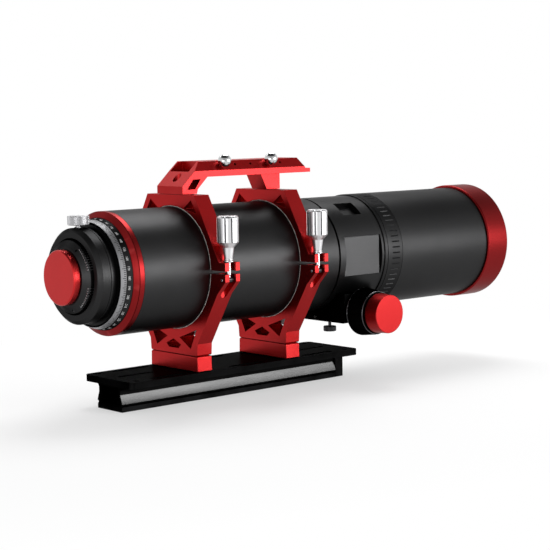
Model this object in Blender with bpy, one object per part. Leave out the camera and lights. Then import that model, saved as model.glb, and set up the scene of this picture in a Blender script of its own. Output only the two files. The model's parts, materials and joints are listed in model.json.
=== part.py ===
# Refractor telescope in hinged tube rings, on a dovetail plate and with a handle on top.
# Sizes are in millimetres and angles in degrees. Objects are placed in metres, +Z up, +X towards the sky.
# The origin is the centre of the dovetail bar's bottom face.

import math

import bmesh
import bpy
from mathutils import Matrix, Vector

MM = 0.001

# Fits and facet counts
FIT = 0.3
FACETS_BIG = 36
FACETS_HIDDEN = 18
FACETS_KNOB = 24
FACETS_SMALL = 12
FACETS_TINY = 8

# Driving sizes of the tube and its stand
TUBE_R = 64.0
TUBE_WALL = 3.0
TUBE_REAR = -154.0
TUBE_FRONT = 113.4
PLATE_TOP = 33.2
RISER_H = 16.4
FOOT_DEPTH = 27.4
RISER_FOOT = PLATE_TOP + FIT
RISER_TOP = RISER_FOOT + RISER_H
AXIS_H = RISER_TOP + FIT + FOOT_DEPTH + TUBE_R
INNER_R = TUBE_R - TUBE_WALL - FIT

# Tube rings, measured from the tube's axis
RING_SPACING = 124.2
RING_MID_X = 0.5
RING_X = (RING_MID_X - RING_SPACING / 2, RING_MID_X + RING_SPACING / 2)
RING_T = 19.4
LINER_T = 1.0
LINER_INSET = 0.2
RING_BORE_R = TUBE_R + FIT + LINER_T + FIT
RING_TOP = TUBE_R + 12.9
RING_TOP_HALF = TUBE_R * 0.6266
RING_LEAN = 0.569
SPLIT_Z = -1.0
SPLIT_GAP = 3.4
SPLIT_TOP = SPLIT_Z + SPLIT_GAP / 2
SPLIT_LOW = SPLIT_Z - SPLIT_GAP / 2
LUG_END = TUBE_R + 24.6
LUG_TOP = 9.4
LUG_LOW = -10.3
LUG_ROOT = (TUBE_R + 11.2, -23.6)
FOOT_SHOULDER = (TUBE_R * 0.6344, -TUBE_R - 14.6)
FOOT_HALF = FOOT_SHOULDER[0] - 0.8
FOOT_BOTTOM = -TUBE_R - FOOT_DEPTH
FORK_W = 9.0
FORK_ROOT = TUBE_R + 10.2
FORK_FOOT = TUBE_R + 6.0
FORK_END = -28.0
HINGE_Y = TUBE_R + 19.0
KNUCKLE_R = 8.5
HINGE_BODY_Y = TUBE_R + 8.4
PIN_R = 3.0
RISER_HALF_TOP = FOOT_HALF
RISER_HALF_FOOT = FOOT_HALF + 0.4
RISER_EDGE = 1.2

# Corners of the rings' windows, as shares of the tube's radius
UPPER_WINDOW = ((0.344, 0.978), (0.541, 1.119), (0.678, 0.906))
SIDE_WINDOW = ((0.164, -1.153), (0.617, -0.991), (0.453, -1.319))
MID_WINDOW = ((-0.195, -1.273), (-0.125, -1.3375), (0.125, -1.3375), (0.195, -1.273), (0.0, -1.1875))

# Clamp knobs, with heights measured from the tube's axis
CLAMP_Y = -TUBE_R - 18.4
STUD_R = 2.5
STUD_CORE_R = 2.05
STUD_TIP_Z = -13.6
STUD_TOP = 28.0
NUT_Z = -8.5
NUT_R = 3.9
NUT_PIN_R = 1.6
NUT_BORE_R = 2.6
WASHER_R = 5.4
WASHER_T = 1.5
SPOT_FACE_R = 7.6
SPOT_FACE_H = 18.0
CLAMP_FOOT = AXIS_H + LUG_TOP + FIT + WASHER_T + FIT
CLAMP_NECK_R = 4.4
CLAMP_WAIST_R = 6.4
CLAMP_HEAD_R = 11.2
CLAMP_NECK_H = 13.4
CLAMP_CONE_H = 5.2
CLAMP_HEAD_H = 26.6
CLAMP_FLUTES = 10
CLAMP_FLUTE_DEPTH = 0.9

# Handle
HANDLE_BASE = AXIS_H + RING_TOP + FIT
HANDLE_REAR = RING_X[0] - RING_T / 2 + FIT
HANDLE_FRONT = RING_X[1] + 33.9
HANDLE_NOSE_REAR = RING_X[1] + 40.4
HANDLE_NOSE_FRONT = RING_X[1] + 47.4
HANDLE_NOSE_H = 4.5
HANDLE_NEAR = 21.0
HANDLE_FAR = 22.8
HANDLE_FOOT_H = 8.3
HANDLE_SLOPE_X = 27.1
HANDLE_TOP_H = 33.5
HANDLE_UNDER_H = 17.3
HANDLE_EDGE_H = 9.8
HANDLE_EDGE_NEAR = 7.0
HANDLE_EDGE_FAR = 0.8
HANDLE_POCKET = ((4.8, 6.0), (15.2, 14.4), (15.2, 24.4), (4.8, 16.8))
HANDLE_WEB_HALF = 11.0
NOTCH_LOW = 23.2
NOTCH_LONG = 17.0
NOTCH_NEAR = HANDLE_NEAR - 9.5
NOTCH_FAR = HANDLE_FAR - 2.6
LEG_HALF_W = 12.4
LEG_REACH = 8.6
HANDLE_SCREW_R = 4.2
HANDLE_BOLT_R = 3.2
BALL_R = 7.2
BALL_NECK_R = 2.4
BALL_SEAT = 0.57
BALL_X = (RING_MID_X - 15.7, RING_MID_X + 50.0)
EDGE_HOLE_X = (RING_MID_X + 3.6, RING_MID_X + 25.5, RING_MID_X + 68.2)
EDGE_HOLE_R = 1.6
EDGE_HOLE_DEPTH = 6.0

# Dovetail plate and bar
PLATE_LEN = 319.0
PLATE_MID_X = 1.5
PLATE_HALF_W = RISER_HALF_FOOT + 2.0
PLATE_T = 7.0
PLATE_CORNER = 6.0
BAR_TOP = PLATE_TOP - PLATE_T
BAR_LEN = PLATE_LEN - 7.0
BAR_BOTTOM_HALF = 21.4
BAR_LIP_H = 5.2
BAR_GROOVE_HALF = 19.8
BAR_V_HALF = 22.0
BAR_V_LOW = 8.3
BAR_V_TOP = 17.6
BAR_NECK_HALF = 18.6
STOP_LEN = 11.8
POCKET_BAR_HALF = 15.0
POCKET_BAR_LOW = 6.5
POCKET_BAR_TOP = 24.0
POCKET_BAR_DEPTH = 34.0
PLATE_SLOT_W = 6.4
PLATE_SLOT_LEN = 46.0
PLATE_SLOT_Y = PLATE_HALF_W - 8.8
PLATE_SLOT_X = BAR_LEN / 2 - 51.0
PLATE_GROOVE_X = BAR_LEN / 2 - 34.0
PLATE_GROOVE_DEPTH = 3.0
PLATE_HOLE_X = BAR_LEN / 2 - 10.0
PLATE_HOLE_R = 3.2
RISER_SCREW_Y = 29.0
RISER_SCREW_R = 3.0

# Rear cell, graduated ring, camera rotator and cap
CELL_LEN = 10.0
CELL_BEVEL_LEN = 3.6
CELL_REAR_R = TUBE_R - 5.8
CELL_BORE_R = TUBE_R - 11.0
SPIGOT_LEN = 12.0
CELL_REAR = TUBE_REAR - CELL_LEN
SCALE_LEN = 11.8
SCALE_REAR_R = TUBE_R - 10.2
SCALE_BORE_R = TUBE_R - 16.6
SCALE_FRONT = CELL_REAR - FIT
SCALE_REAR = SCALE_FRONT - SCALE_LEN
ROTATOR_R = TUBE_R - 15.0
ROTATOR_LEN = 21.6
ROTATOR_NECK_LEN = 5.1
ROTATOR_EDGE = 4.0
ROTATOR_FRONT = SCALE_REAR - FIT
ROTATOR_REAR = ROTATOR_FRONT - ROTATOR_LEN
ROTATOR_SCREW_BACK = 11.8
ROTATOR_SCREW_R = 11.0
ROTATOR_SCREW_H = 9.4
ROTATOR_SCREW_GAP = 2.6
ROTATOR_STEM_R = 2.4
RECESS_R = TUBE_R - 25.0
RECESS_DEPTH = 13.2
ADAPTER_R = RECESS_R - 1.8
ADAPTER_STEP = 2.6
ADAPTER_CONE = 5.6
ADAPTER_TIP_R = RECESS_R - 9.0
ADAPTER_BORE_R = RECESS_R - 15.0
ADAPTER_SPIGOT_R = RECESS_R - 6.0
ADAPTER_REAR = ROTATOR_REAR - ADAPTER_STEP - ADAPTER_CONE
GRIP_GROUPS = (205.0, 150.0)
GRIP_NOTCHES = 7
GRIP_PITCH = 6.0
GRIP_NOTCH_W = 1.9
GRIP_NOTCH_DEPTH = 1.6
CAP_R = ADAPTER_TIP_R - 2.0
CAP_LEN = 7.4
CAP_EDGE = 1.2
CAP_PLUG_LEN = 8.0
CAP_FRONT = ADAPTER_REAR - FIT
CAP_REAR = CAP_FRONT - CAP_LEN

# Rear lens cell and baffles inside the tube
REAR_LENS_X = TUBE_REAR + 58.0
REAR_LENS_R = TUBE_R - 22.0
REAR_LENS_CELL_LEN = 40.0
BAFFLE_X = (TUBE_REAR + 124.0, TUBE_FRONT - 55.4)
BAFFLE_BORE_R = (TUBE_R - 19.0, TUBE_R - 15.0)
BAFFLE_T = 1.6

# Focuser housing, block and drive
HOUSING_LEN = 69.4
HOUSING_REAR = TUBE_FRONT + FIT
HOUSING_FRONT = HOUSING_REAR + HOUSING_LEN
HOUSING_BORE_R = TUBE_R - 8.0
TILE_FLAT_DEPTH = 5.6
TILE_FLAT_Y = TILE_FLAT_DEPTH - TUBE_R
TILE_FLAT_HALF = math.sqrt(TUBE_R * TUBE_R - TILE_FLAT_Y * TILE_FLAT_Y)
TILE_MARGIN = 4.5
TILE_W = 54.0
TILE_FRONT_GAP = 2.2
TILE_H = 2 * (TILE_FLAT_HALF - TILE_MARGIN)
TILE_T = 2.2
TILE_X = HOUSING_REAR + 36.7
POCKET_X = HOUSING_REAR + 37.3
POCKET_LEN = 28.0
POCKET_W = 21.0
POCKET_DEPTH = 6.2
POCKET_TILT = 35.6
DRIVE_X = HOUSING_REAR + 35.3
DRIVE_Z = AXIS_H - HOUSING_BORE_R - 6.6
BLOCK_LEN = 54.0
BLOCK_HALF_W = TUBE_R - 2.5
BLOCK_BOTTOM = DRIVE_Z - 12.0
BLOCK_TOP = DRIVE_Z + 21.0
BLOCK_EDGE = 3.0
PINION_TEETH = 16
MODULE = 1.0
PITCH_R = MODULE * PINION_TEETH / 2
TOOTH_PITCH = math.pi * MODULE
ADDENDUM = 0.8 * MODULE
DEDENDUM = 1.25 * MODULE
TOOTH_PLAY = 0.36
PINION_HALF_W = 5.5
RACK_TEETH = 16
RACK_HALF_W = 6.0
RACK_BACK = 2.4
SHAFT_R = 5.0
BUSH_R = 8.0
BUSH_LEN = 13.0
KNOB_STANDOFF = 2.5
KNOB_Y = BLOCK_HALF_W + KNOB_STANDOFF
COARSE_R = 27.0
COARSE_TIP_R = 24.6
COARSE_LEN = 22.4
COARSE_FLUTES = 20
COARSE_FLUTE_DEPTH = 1.1
FINE_Y = KNOB_Y + COARSE_LEN + FIT
FINE_BASE_R = 22.2
FINE_FACE_R = 21.3
FINE_EDGE = 0.4
FINE_LEN = 18.0
FINE_STUB_R = 3.0
FINE_STUB_LEN = 12.0
LOCK_X = DRIVE_X - 15.0
LOCK_Y = -24.0
LOCK_HEAD_R = 7.3
LOCK_HEAD_H = 5.8
LOCK_DROP = 6.6
LOCK_STEM_R = 1.75

# Lens carriage, objective barrel and dew shield
COLLAR_R = TUBE_R + 1.4
COLLAR_LEN = 4.8
COLLAR_REAR = HOUSING_FRONT + FIT
COLLAR_FRONT = COLLAR_REAR + COLLAR_LEN
BARREL_R = TUBE_R - 1.3
BARREL_BORE_R = HOUSING_BORE_R + 0.1
BARREL_FRONT = COLLAR_FRONT + 111.8
CARRIAGE_R = HOUSING_BORE_R - FIT
CARRIAGE_WALL = 2.7
CARRIAGE_REAR = HOUSING_REAR + 8.3
LENS_SEAT = COLLAR_REAR + 50.6
CARRIAGE_FRONT = LENS_SEAT + 30.0
LENS_R = CARRIAGE_R - 4.7
LENS_RIM = 3.0
FRONT_LENS_T = 13.0
FRONT_LENS_BULGE = 4.0
REAR_LENS_T = 11.0
REAR_LENS_BULGE = 2.0
SPACER_T = 2.6
LOCK_RING_LEN = 22.8
LOCK_RING_REAR = COLLAR_FRONT + FIT
LOCK_RING_FRONT = LOCK_RING_REAR + LOCK_RING_LEN
SHIELD_BORE_R = BARREL_R + 0.4
SHIELD_LEN = 145.0
SHIELD_REAR = LOCK_RING_FRONT + FIT
SHIELD_FRONT = SHIELD_REAR + SHIELD_LEN
RIM_R = COLLAR_R + 3.1
RIM_LEN = 35.3
RIM_EDGE = 1.6
RIM_REAR = SHIELD_FRONT + FIT
RIM_FRONT = RIM_REAR + RIM_LEN


def clear_scene():
    for item in list(bpy.data.objects):
        bpy.data.objects.remove(item, do_unlink=True)


def material(name, colour, roughness, metallic, alpha=1.0):
    made = bpy.data.materials.new(name)
    made.use_nodes = True
    shader = made.node_tree.nodes["Principled BSDF"]
    shader.inputs["Base Color"].default_value = (*colour, 1.0)
    shader.inputs["Roughness"].default_value = roughness
    shader.inputs["Metallic"].default_value = metallic
    shader.inputs["Alpha"].default_value = alpha
    return made


def finish_mesh(bm, name):
    bmesh.ops.recalc_face_normals(bm, faces=bm.faces)
    mesh = bpy.data.meshes.new(name)
    bm.to_mesh(mesh)
    bm.free()
    scratch = bpy.data.objects.new(name, mesh)
    bpy.context.scene.collection.objects.link(scratch)
    return scratch


def axis_frame(axis):
    # Columns take (along, first, second) to the world, for a shape whose length runs along the axis.
    if axis == "X":
        return Matrix(((1, 0, 0), (0, 1, 0), (0, 0, 1)))
    if axis == "Y":
        return Matrix(((0, 0, 1), (1, 0, 0), (0, 1, 0)))
    return Matrix(((0, 1, 0), (0, 0, 1), (1, 0, 0)))


def revolve(profile, axis="X", centre=(0.0, 0.0, AXIS_H), count=FACETS_BIG):
    # The profile is a list of (along the axis, radius). A radius of zero makes a pole.
    bm = bmesh.new()
    turn = axis_frame(axis)
    rings = []
    for along, radius in profile:
        if radius == 0:
            rings.append([bm.verts.new(turn @ Vector((along, 0, 0)) + Vector(centre))])
            continue
        ring = []
        for step in range(count):
            angle = 2 * math.pi * (step + 0.5) / count
            spot = Vector((along, radius * math.cos(angle), radius * math.sin(angle)))
            ring.append(bm.verts.new(turn @ spot + Vector(centre)))
        rings.append(ring)
    closed = all(len(ring) > 1 for ring in rings)
    pairs = list(zip(rings, rings[1:]))
    if closed:
        pairs.append((rings[-1], rings[0]))
    for first, second in pairs:
        for step in range(count):
            after = (step + 1) % count
            if len(first) == 1:
                bm.faces.new((first[0], second[step], second[after]))
            elif len(second) == 1:
                bm.faces.new((first[step], second[0], first[after]))
            else:
                bm.faces.new((first[step], second[step], second[after], first[after]))
    return finish_mesh(bm, "revolved")


def stack(sections, axis="X", centre=(0.0, 0.0, 0.0)):
    # Sections are (along, points) with equal point counts, joined one after the other and closed at both ends.
    bm = bmesh.new()
    turn = axis_frame(axis)
    rings = []
    for along, points in sections:
        ring = [bm.verts.new(turn @ Vector((along, first, second)) + Vector(centre)) for first, second in points]
        rings.append(ring)
    count = len(rings[0])
    for first, second in zip(rings, rings[1:]):
        for step in range(count):
            after = (step + 1) % count
            bm.faces.new((first[step], second[step], second[after], first[after]))
    bm.faces.new(rings[0])
    bm.faces.new(rings[-1])
    return finish_mesh(bm, "stacked")


def prism(points, low, high, axis="X", centre=(0.0, 0.0, 0.0)):
    return stack([(low, points), (high, points)], axis, centre)


def box(low, high):
    points = [(low[1], low[2]), (high[1], low[2]), (high[1], high[2]), (low[1], high[2])]
    return prism(points, low[0], high[0])


def rod(radius, low, high, axis, centre, count=FACETS_SMALL):
    return revolve([(low, 0), (low, radius), (high, radius), (high, 0)], axis, centre, count)


def circle_points(radius, centre, start, end, count):
    points = []
    for step in range(count + 1):
        angle = math.radians(start + (end - start) * step / count)
        points.append((centre[0] + radius * math.cos(angle), centre[1] + radius * math.sin(angle)))
    return points


def fluted_points(radius, depth, flutes):
    points = []
    # Each flute takes three points: its bottom, then the two edges of the land beside it.
    for step in range(flutes * 3):
        angle = 2 * math.pi * step / (flutes * 3)
        inward = depth if step % 3 == 0 else 0.0
        points.append(((radius - inward) * math.cos(angle), (radius - inward) * math.sin(angle)))
    return points


def slot_points(half_length, half_width, corner=3):
    straight = half_length - half_width
    points = circle_points(half_width, (straight, 0.0), -90, 90, corner)
    points += circle_points(half_width, (-straight, 0.0), 90, 270, corner)
    return points


def boolean(target, tools, operation):
    for tool in tools:
        step = target.modifiers.new("step", "BOOLEAN")
        step.operation = operation
        step.solver = "EXACT"
        step.object = tool
    graph = bpy.context.evaluated_depsgraph_get()
    mesh = bpy.data.meshes.new_from_object(target.evaluated_get(graph))
    old = target.data
    target.modifiers.clear()
    target.data = mesh
    bpy.data.meshes.remove(old)
    for tool in tools:
        used = tool.data
        bpy.data.objects.remove(tool, do_unlink=True)
        bpy.data.meshes.remove(used)
    return target


def cut(target, *tools):
    return boolean(target, tools, "DIFFERENCE")


def join(target, *tools):
    return boolean(target, tools, "UNION")


def common(target, *tools):
    return boolean(target, tools, "INTERSECT")


def gather(name, pieces):
    # Puts repeated cutters in one mesh.
    bm = bmesh.new()
    for piece in pieces:
        bm.from_mesh(piece.data)
        used = piece.data
        bpy.data.objects.remove(piece, do_unlink=True)
        bpy.data.meshes.remove(used)
    return finish_mesh(bm, name)


def place(piece, name, look, origin=(0.0, 0.0, 0.0)):
    piece.name = name
    piece.data.name = name
    shift = Matrix.Translation(Vector(origin))
    piece.data.transform(Matrix.Scale(MM, 4) @ shift.inverted())
    piece.location = Vector(origin) * MM
    piece.data.materials.clear()
    piece.data.materials.append(look)
    for face in piece.data.polygons:
        face.use_smooth = True
    piece.data.set_sharp_from_angle(angle=math.radians(32))
    return piece


def on_axis(x):
    return (x, 0.0, AXIS_H)


def build_plate(look):
    half_l = PLATE_LEN / 2
    corners = []
    for sign_x, sign_y, start in ((1, 1, 0), (-1, 1, 90), (-1, -1, 180), (1, -1, 270)):
        middle = (PLATE_MID_X + sign_x * (half_l - PLATE_CORNER), sign_y * (PLATE_HALF_W - PLATE_CORNER))
        corners += circle_points(PLATE_CORNER, middle, start, start + 90, 4)
    plate = prism(corners, BAR_TOP, PLATE_TOP, "Z")
    side = [
        (BAR_BOTTOM_HALF, 0.0),
        (BAR_BOTTOM_HALF, BAR_LIP_H),
        (BAR_GROOVE_HALF, BAR_LIP_H + 1.0),
        (BAR_GROOVE_HALF, BAR_V_LOW - 0.8),
        (BAR_V_HALF, BAR_V_LOW),
        (BAR_NECK_HALF, BAR_V_TOP),
        (BAR_NECK_HALF, BAR_TOP - 3.4),
        (BAR_NECK_HALF + 1.4, BAR_TOP - 1.0),
        (BAR_NECK_HALF + 4.4, BAR_TOP + 1.0),
    ]
    outline = side + [(-y, z) for y, z in reversed(side)]
    bar = prism(outline, -BAR_LEN / 2, BAR_LEN / 2 - STOP_LEN - FIT)
    plate = join(plate, bar)
    tools = []
    for sign in (-1, 1):
        for x in (-PLATE_SLOT_X, 0.0, PLATE_SLOT_X):
            points = slot_points(PLATE_SLOT_LEN / 2, PLATE_SLOT_W / 2)
            tools.append(prism(points, BAR_TOP - 4, PLATE_TOP + 4, "Z", (x, sign * PLATE_SLOT_Y, 0.0)))
        points = slot_points(PLATE_SLOT_LEN / 2, PLATE_SLOT_W / 2)
        tools.append(prism(points, PLATE_TOP - PLATE_GROOVE_DEPTH, PLATE_TOP + 4, "Z", (sign * PLATE_GROOVE_X, 0, 0)))
        for end in (-1, 1):
            spot = (end * PLATE_HOLE_X, sign * PLATE_SLOT_Y, 0.0)
            tools.append(rod(PLATE_HOLE_R, BAR_TOP - 4, PLATE_TOP + 4, "Z", spot, FACETS_TINY))
        for x in RING_X:
            spot = (x, sign * RISER_SCREW_Y, 0.0)
            tools.append(rod(RISER_SCREW_R + FIT, BAR_TOP - 4, PLATE_TOP + 4, "Z", spot, FACETS_TINY))
    rear = -BAR_LEN / 2
    tools.append(
        box(
            (rear - 5, -POCKET_BAR_HALF, POCKET_BAR_LOW),
            (rear + POCKET_BAR_DEPTH, POCKET_BAR_HALF, POCKET_BAR_TOP),
        )
    )
    place(cut(plate, *tools), "dovetail_plate", look)
    stop = box(
        (BAR_LEN / 2 - STOP_LEN, -BAR_BOTTOM_HALF, 0.0),
        (BAR_LEN / 2, BAR_BOTTOM_HALF, BAR_TOP - FIT),
    )
    place(stop, "dovetail_stop", look)


def build_risers(look):
    for word, x in zip(("rear", "front"), RING_X):
        half = RING_T / 2

        def section(width, depth):
            return [(x - depth, -width), (x + depth, -width), (x + depth, width), (x - depth, width)]

        riser = stack(
            [
                (RISER_FOOT, section(RISER_HALF_FOOT, half)),
                (RISER_TOP - RISER_EDGE, section(RISER_HALF_TOP, half)),
                (RISER_TOP, section(RISER_HALF_TOP - RISER_EDGE, half - RISER_EDGE)),
            ],
            "Z",
        )
        tools = []
        for sign in (-1, 1):
            spot = (x, sign * RISER_SCREW_Y, 0.0)
            tools.append(rod(RISER_SCREW_R + FIT, RISER_FOOT - 5, RISER_TOP - 3, "Z", spot, FACETS_TINY))
        place(cut(riser, *tools), "ring_riser_" + word, look)


def bore_arc(upper, radius, height, count=18):
    edge = math.degrees(math.asin(abs(height) / radius))
    if upper:
        return circle_points(radius, (0.0, 0.0), edge, 180 - edge, count)
    return circle_points(radius, (0.0, 0.0), 180 + edge, 360 - edge, count)


def lean_y(height):
    return RING_TOP_HALF + (RING_TOP - height) * RING_LEAN


def ring_prism(points, x, half=RING_T / 2):
    return prism(points, x - half, x + half, "X", (0.0, 0.0, AXIS_H))


def ring_window(shares, x, sign=1):
    return ring_prism([(sign * y * TUBE_R, z * TUBE_R) for y, z in shares], x, RING_T)


def ring_slot(x, sign, root, width):
    outer = LUG_END + 12
    low = (x - width / 2, min(sign * root, sign * outer), AXIS_H - 40)
    high = (x + width / 2, max(sign * root, sign * outer), AXIS_H + 30)
    return box(low, high)


def fork_slot(x):
    # The slot of the lower fork is milled from the near side and ends in a half round.
    half = FORK_W / 2
    points = circle_points(half, (FORK_END + half, 0.0), 90, 270, 6) + [(30.0, -half), (30.0, half)]
    return prism(points, -LUG_END - 12, -FORK_FOOT, "Y", (x, 0.0, AXIS_H))


def build_upper_ring(word, x, look, liner):
    lean_stop = RING_TOP - (HINGE_BODY_Y - RING_TOP_HALF) / RING_LEAN
    outline = bore_arc(True, RING_BORE_R, SPLIT_TOP)
    outline += [
        (-LUG_END, SPLIT_TOP),
        (-LUG_END, LUG_TOP),
        (-lean_y(LUG_TOP), LUG_TOP),
        (-RING_TOP_HALF, RING_TOP),
        (RING_TOP_HALF, RING_TOP),
        (HINGE_BODY_Y, lean_stop),
        (HINGE_BODY_Y, SPLIT_TOP),
    ]
    ring = ring_prism(outline, x)
    hinge = (HINGE_Y, SPLIT_Z)
    knuckle = circle_points(KNUCKLE_R, hinge, 166, 436, 10)
    knuckle += [(HINGE_BODY_Y - 3, SPLIT_TOP + 16), (HINGE_BODY_Y - 3, SPLIT_TOP + 0.4)]
    ring = join(ring, ring_prism(knuckle, x, FORK_W / 2 - FIT))
    spot = (0.0, HINGE_Y, AXIS_H + SPLIT_Z)
    tools = [
        ring_slot(x, -1, FORK_ROOT, FORK_W),
        rod(PIN_R + FIT, x - RING_T, x + RING_T, "X", spot),
        rod(HANDLE_BOLT_R, HANDLE_BASE - 12, HANDLE_BASE + 3, "Z", (x, 0.0, 0.0), FACETS_TINY),
        rod(SPOT_FACE_R, AXIS_H + LUG_TOP, AXIS_H + LUG_TOP + SPOT_FACE_H, "Z", (x, CLAMP_Y, 0.0)),
    ]
    for sign in (-1, 1):
        tools.append(ring_window(UPPER_WINDOW, x, sign))
    hinge_spot = (x, HINGE_Y, AXIS_H + SPLIT_Z)
    place(cut(ring, *tools), "ring_upper_" + word, look, hinge_spot)
    build_liner("ring_liner_upper_" + word, x, True, liner, hinge_spot)


def build_lower_ring(word, x, look, liner):
    hinge = (HINGE_Y, SPLIT_Z)
    outline = bore_arc(False, RING_BORE_R, SPLIT_LOW)
    outline += circle_points(KNUCKLE_R, hinge, 190, -42, 9)
    outline += [
        LUG_ROOT,
        FOOT_SHOULDER,
        (FOOT_HALF, FOOT_BOTTOM + RISER_EDGE),
        (FOOT_HALF - RISER_EDGE, FOOT_BOTTOM),
        (-FOOT_HALF + RISER_EDGE, FOOT_BOTTOM),
        (-FOOT_HALF, FOOT_BOTTOM + RISER_EDGE),
        (-FOOT_SHOULDER[0], FOOT_SHOULDER[1]),
        (-LUG_ROOT[0], LUG_ROOT[1]),
        (-LUG_END, LUG_LOW),
        (-LUG_END, SPLIT_LOW),
    ]
    ring = ring_prism(outline, x)
    tools = [
        fork_slot(x),
        ring_slot(x, 1, HINGE_Y - KNUCKLE_R - 2 * FIT, FORK_W),
        rod(PIN_R + FIT, x - RING_T, x + RING_T, "X", (0.0, HINGE_Y, AXIS_H + SPLIT_Z)),
        rod(NUT_PIN_R + FIT, x - RING_T, x + RING_T, "X", (0.0, CLAMP_Y, AXIS_H + NUT_Z)),
        ring_window(MID_WINDOW, x),
    ]
    for sign in (-1, 1):
        tools.append(ring_window(SIDE_WINDOW, x, sign))
    place(cut(ring, *tools), "ring_lower_" + word, look)
    build_liner("ring_liner_lower_" + word, x, False, liner, (0.0, 0.0, 0.0))


def build_liner(name, x, upper, look, origin):
    edge = SPLIT_TOP + 0.5 if upper else SPLIT_LOW - 0.5
    inner = bore_arc(upper, TUBE_R + FIT, edge)
    outer = bore_arc(upper, TUBE_R + FIT + LINER_T, edge)
    band = ring_prism(outer + list(reversed(inner)), x, RING_T / 2 - LINER_INSET)
    place(band, name, look, origin)


def build_rings(look, liner, steel):
    for word, x in zip(("rear", "front"), RING_X):
        build_lower_ring(word, x, look, liner)
        build_upper_ring(word, x, look, liner)
        reach = RING_T / 2 - 0.2
        pin = rod(PIN_R, x - reach, x + reach, "X", (0.0, HINGE_Y, AXIS_H + SPLIT_Z))
        place(pin, "ring_hinge_pin_" + word, steel)
        # The nut's barrel lies between the fork's tines, and its thin pin goes through both of them.
        nut_spot = (0.0, CLAMP_Y, AXIS_H + NUT_Z)
        barrel = FORK_W / 2 - FIT
        nut = join(
            rod(NUT_R, x - barrel, x + barrel, "X", nut_spot),
            rod(NUT_PIN_R, x - reach, x + reach, "X", nut_spot),
        )
        bore = rod(NUT_BORE_R, AXIS_H + NUT_Z - 9, AXIS_H + NUT_Z + 9, "Z", (x, CLAMP_Y, 0.0))
        place(cut(nut, bore), "clamp_nut_" + word, steel)


def build_clamps(silver, steel):
    for word, x in zip(("rear", "front"), RING_X):
        spot = (x, CLAMP_Y, 0.0)
        origin = (x, CLAMP_Y, AXIS_H + LUG_TOP)
        low = AXIS_H + LUG_TOP + FIT
        ring = [(low, STUD_R + FIT), (low, WASHER_R), (low + WASHER_T, WASHER_R), (low + WASHER_T, STUD_R + FIT)]
        place(revolve(ring, "Z", spot, FACETS_SMALL), "clamp_washer_" + word, steel, origin)
        stud = [
            (AXIS_H + STUD_TIP_Z, 0),
            (AXIS_H + STUD_TIP_Z, STUD_CORE_R - 0.6),
            (AXIS_H + STUD_TIP_Z + 0.8, STUD_CORE_R),
            (AXIS_H + NUT_Z + NUT_R + 0.4, STUD_CORE_R),
            (AXIS_H + NUT_Z + NUT_R + 1.0, STUD_R),
            (AXIS_H + STUD_TOP, STUD_R),
            (AXIS_H + STUD_TOP, 0),
        ]
        place(revolve(stud, "Z", spot, FACETS_SMALL), "clamp_stud_" + word, steel, origin)
        waist = CLAMP_FOOT + CLAMP_NECK_H
        head = waist + CLAMP_CONE_H
        top = head + CLAMP_HEAD_H

        def flutes(radius, depth=CLAMP_FLUTE_DEPTH):
            return fluted_points(radius, depth, CLAMP_FLUTES)

        knob = stack(
            [
                (CLAMP_FOOT, flutes(CLAMP_NECK_R, 0.0)),
                (waist, flutes(CLAMP_WAIST_R, 0.0)),
                (head, flutes(CLAMP_HEAD_R)),
                (top - 1.5, flutes(CLAMP_HEAD_R)),
                (top, flutes(CLAMP_HEAD_R - 1.5, 0.3)),
            ],
            "Z",
            spot,
        )
        bore = rod(STUD_R + FIT, CLAMP_FOOT - 3, AXIS_H + STUD_TOP + FIT, "Z", spot)
        place(cut(knob, bore), "clamp_knob_" + word, silver, origin)


def handle_slope_x(height):
    return HANDLE_REAR + (height - HANDLE_FOOT_H) * HANDLE_SLOPE_X / (HANDLE_TOP_H - HANDLE_FOOT_H)


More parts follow.
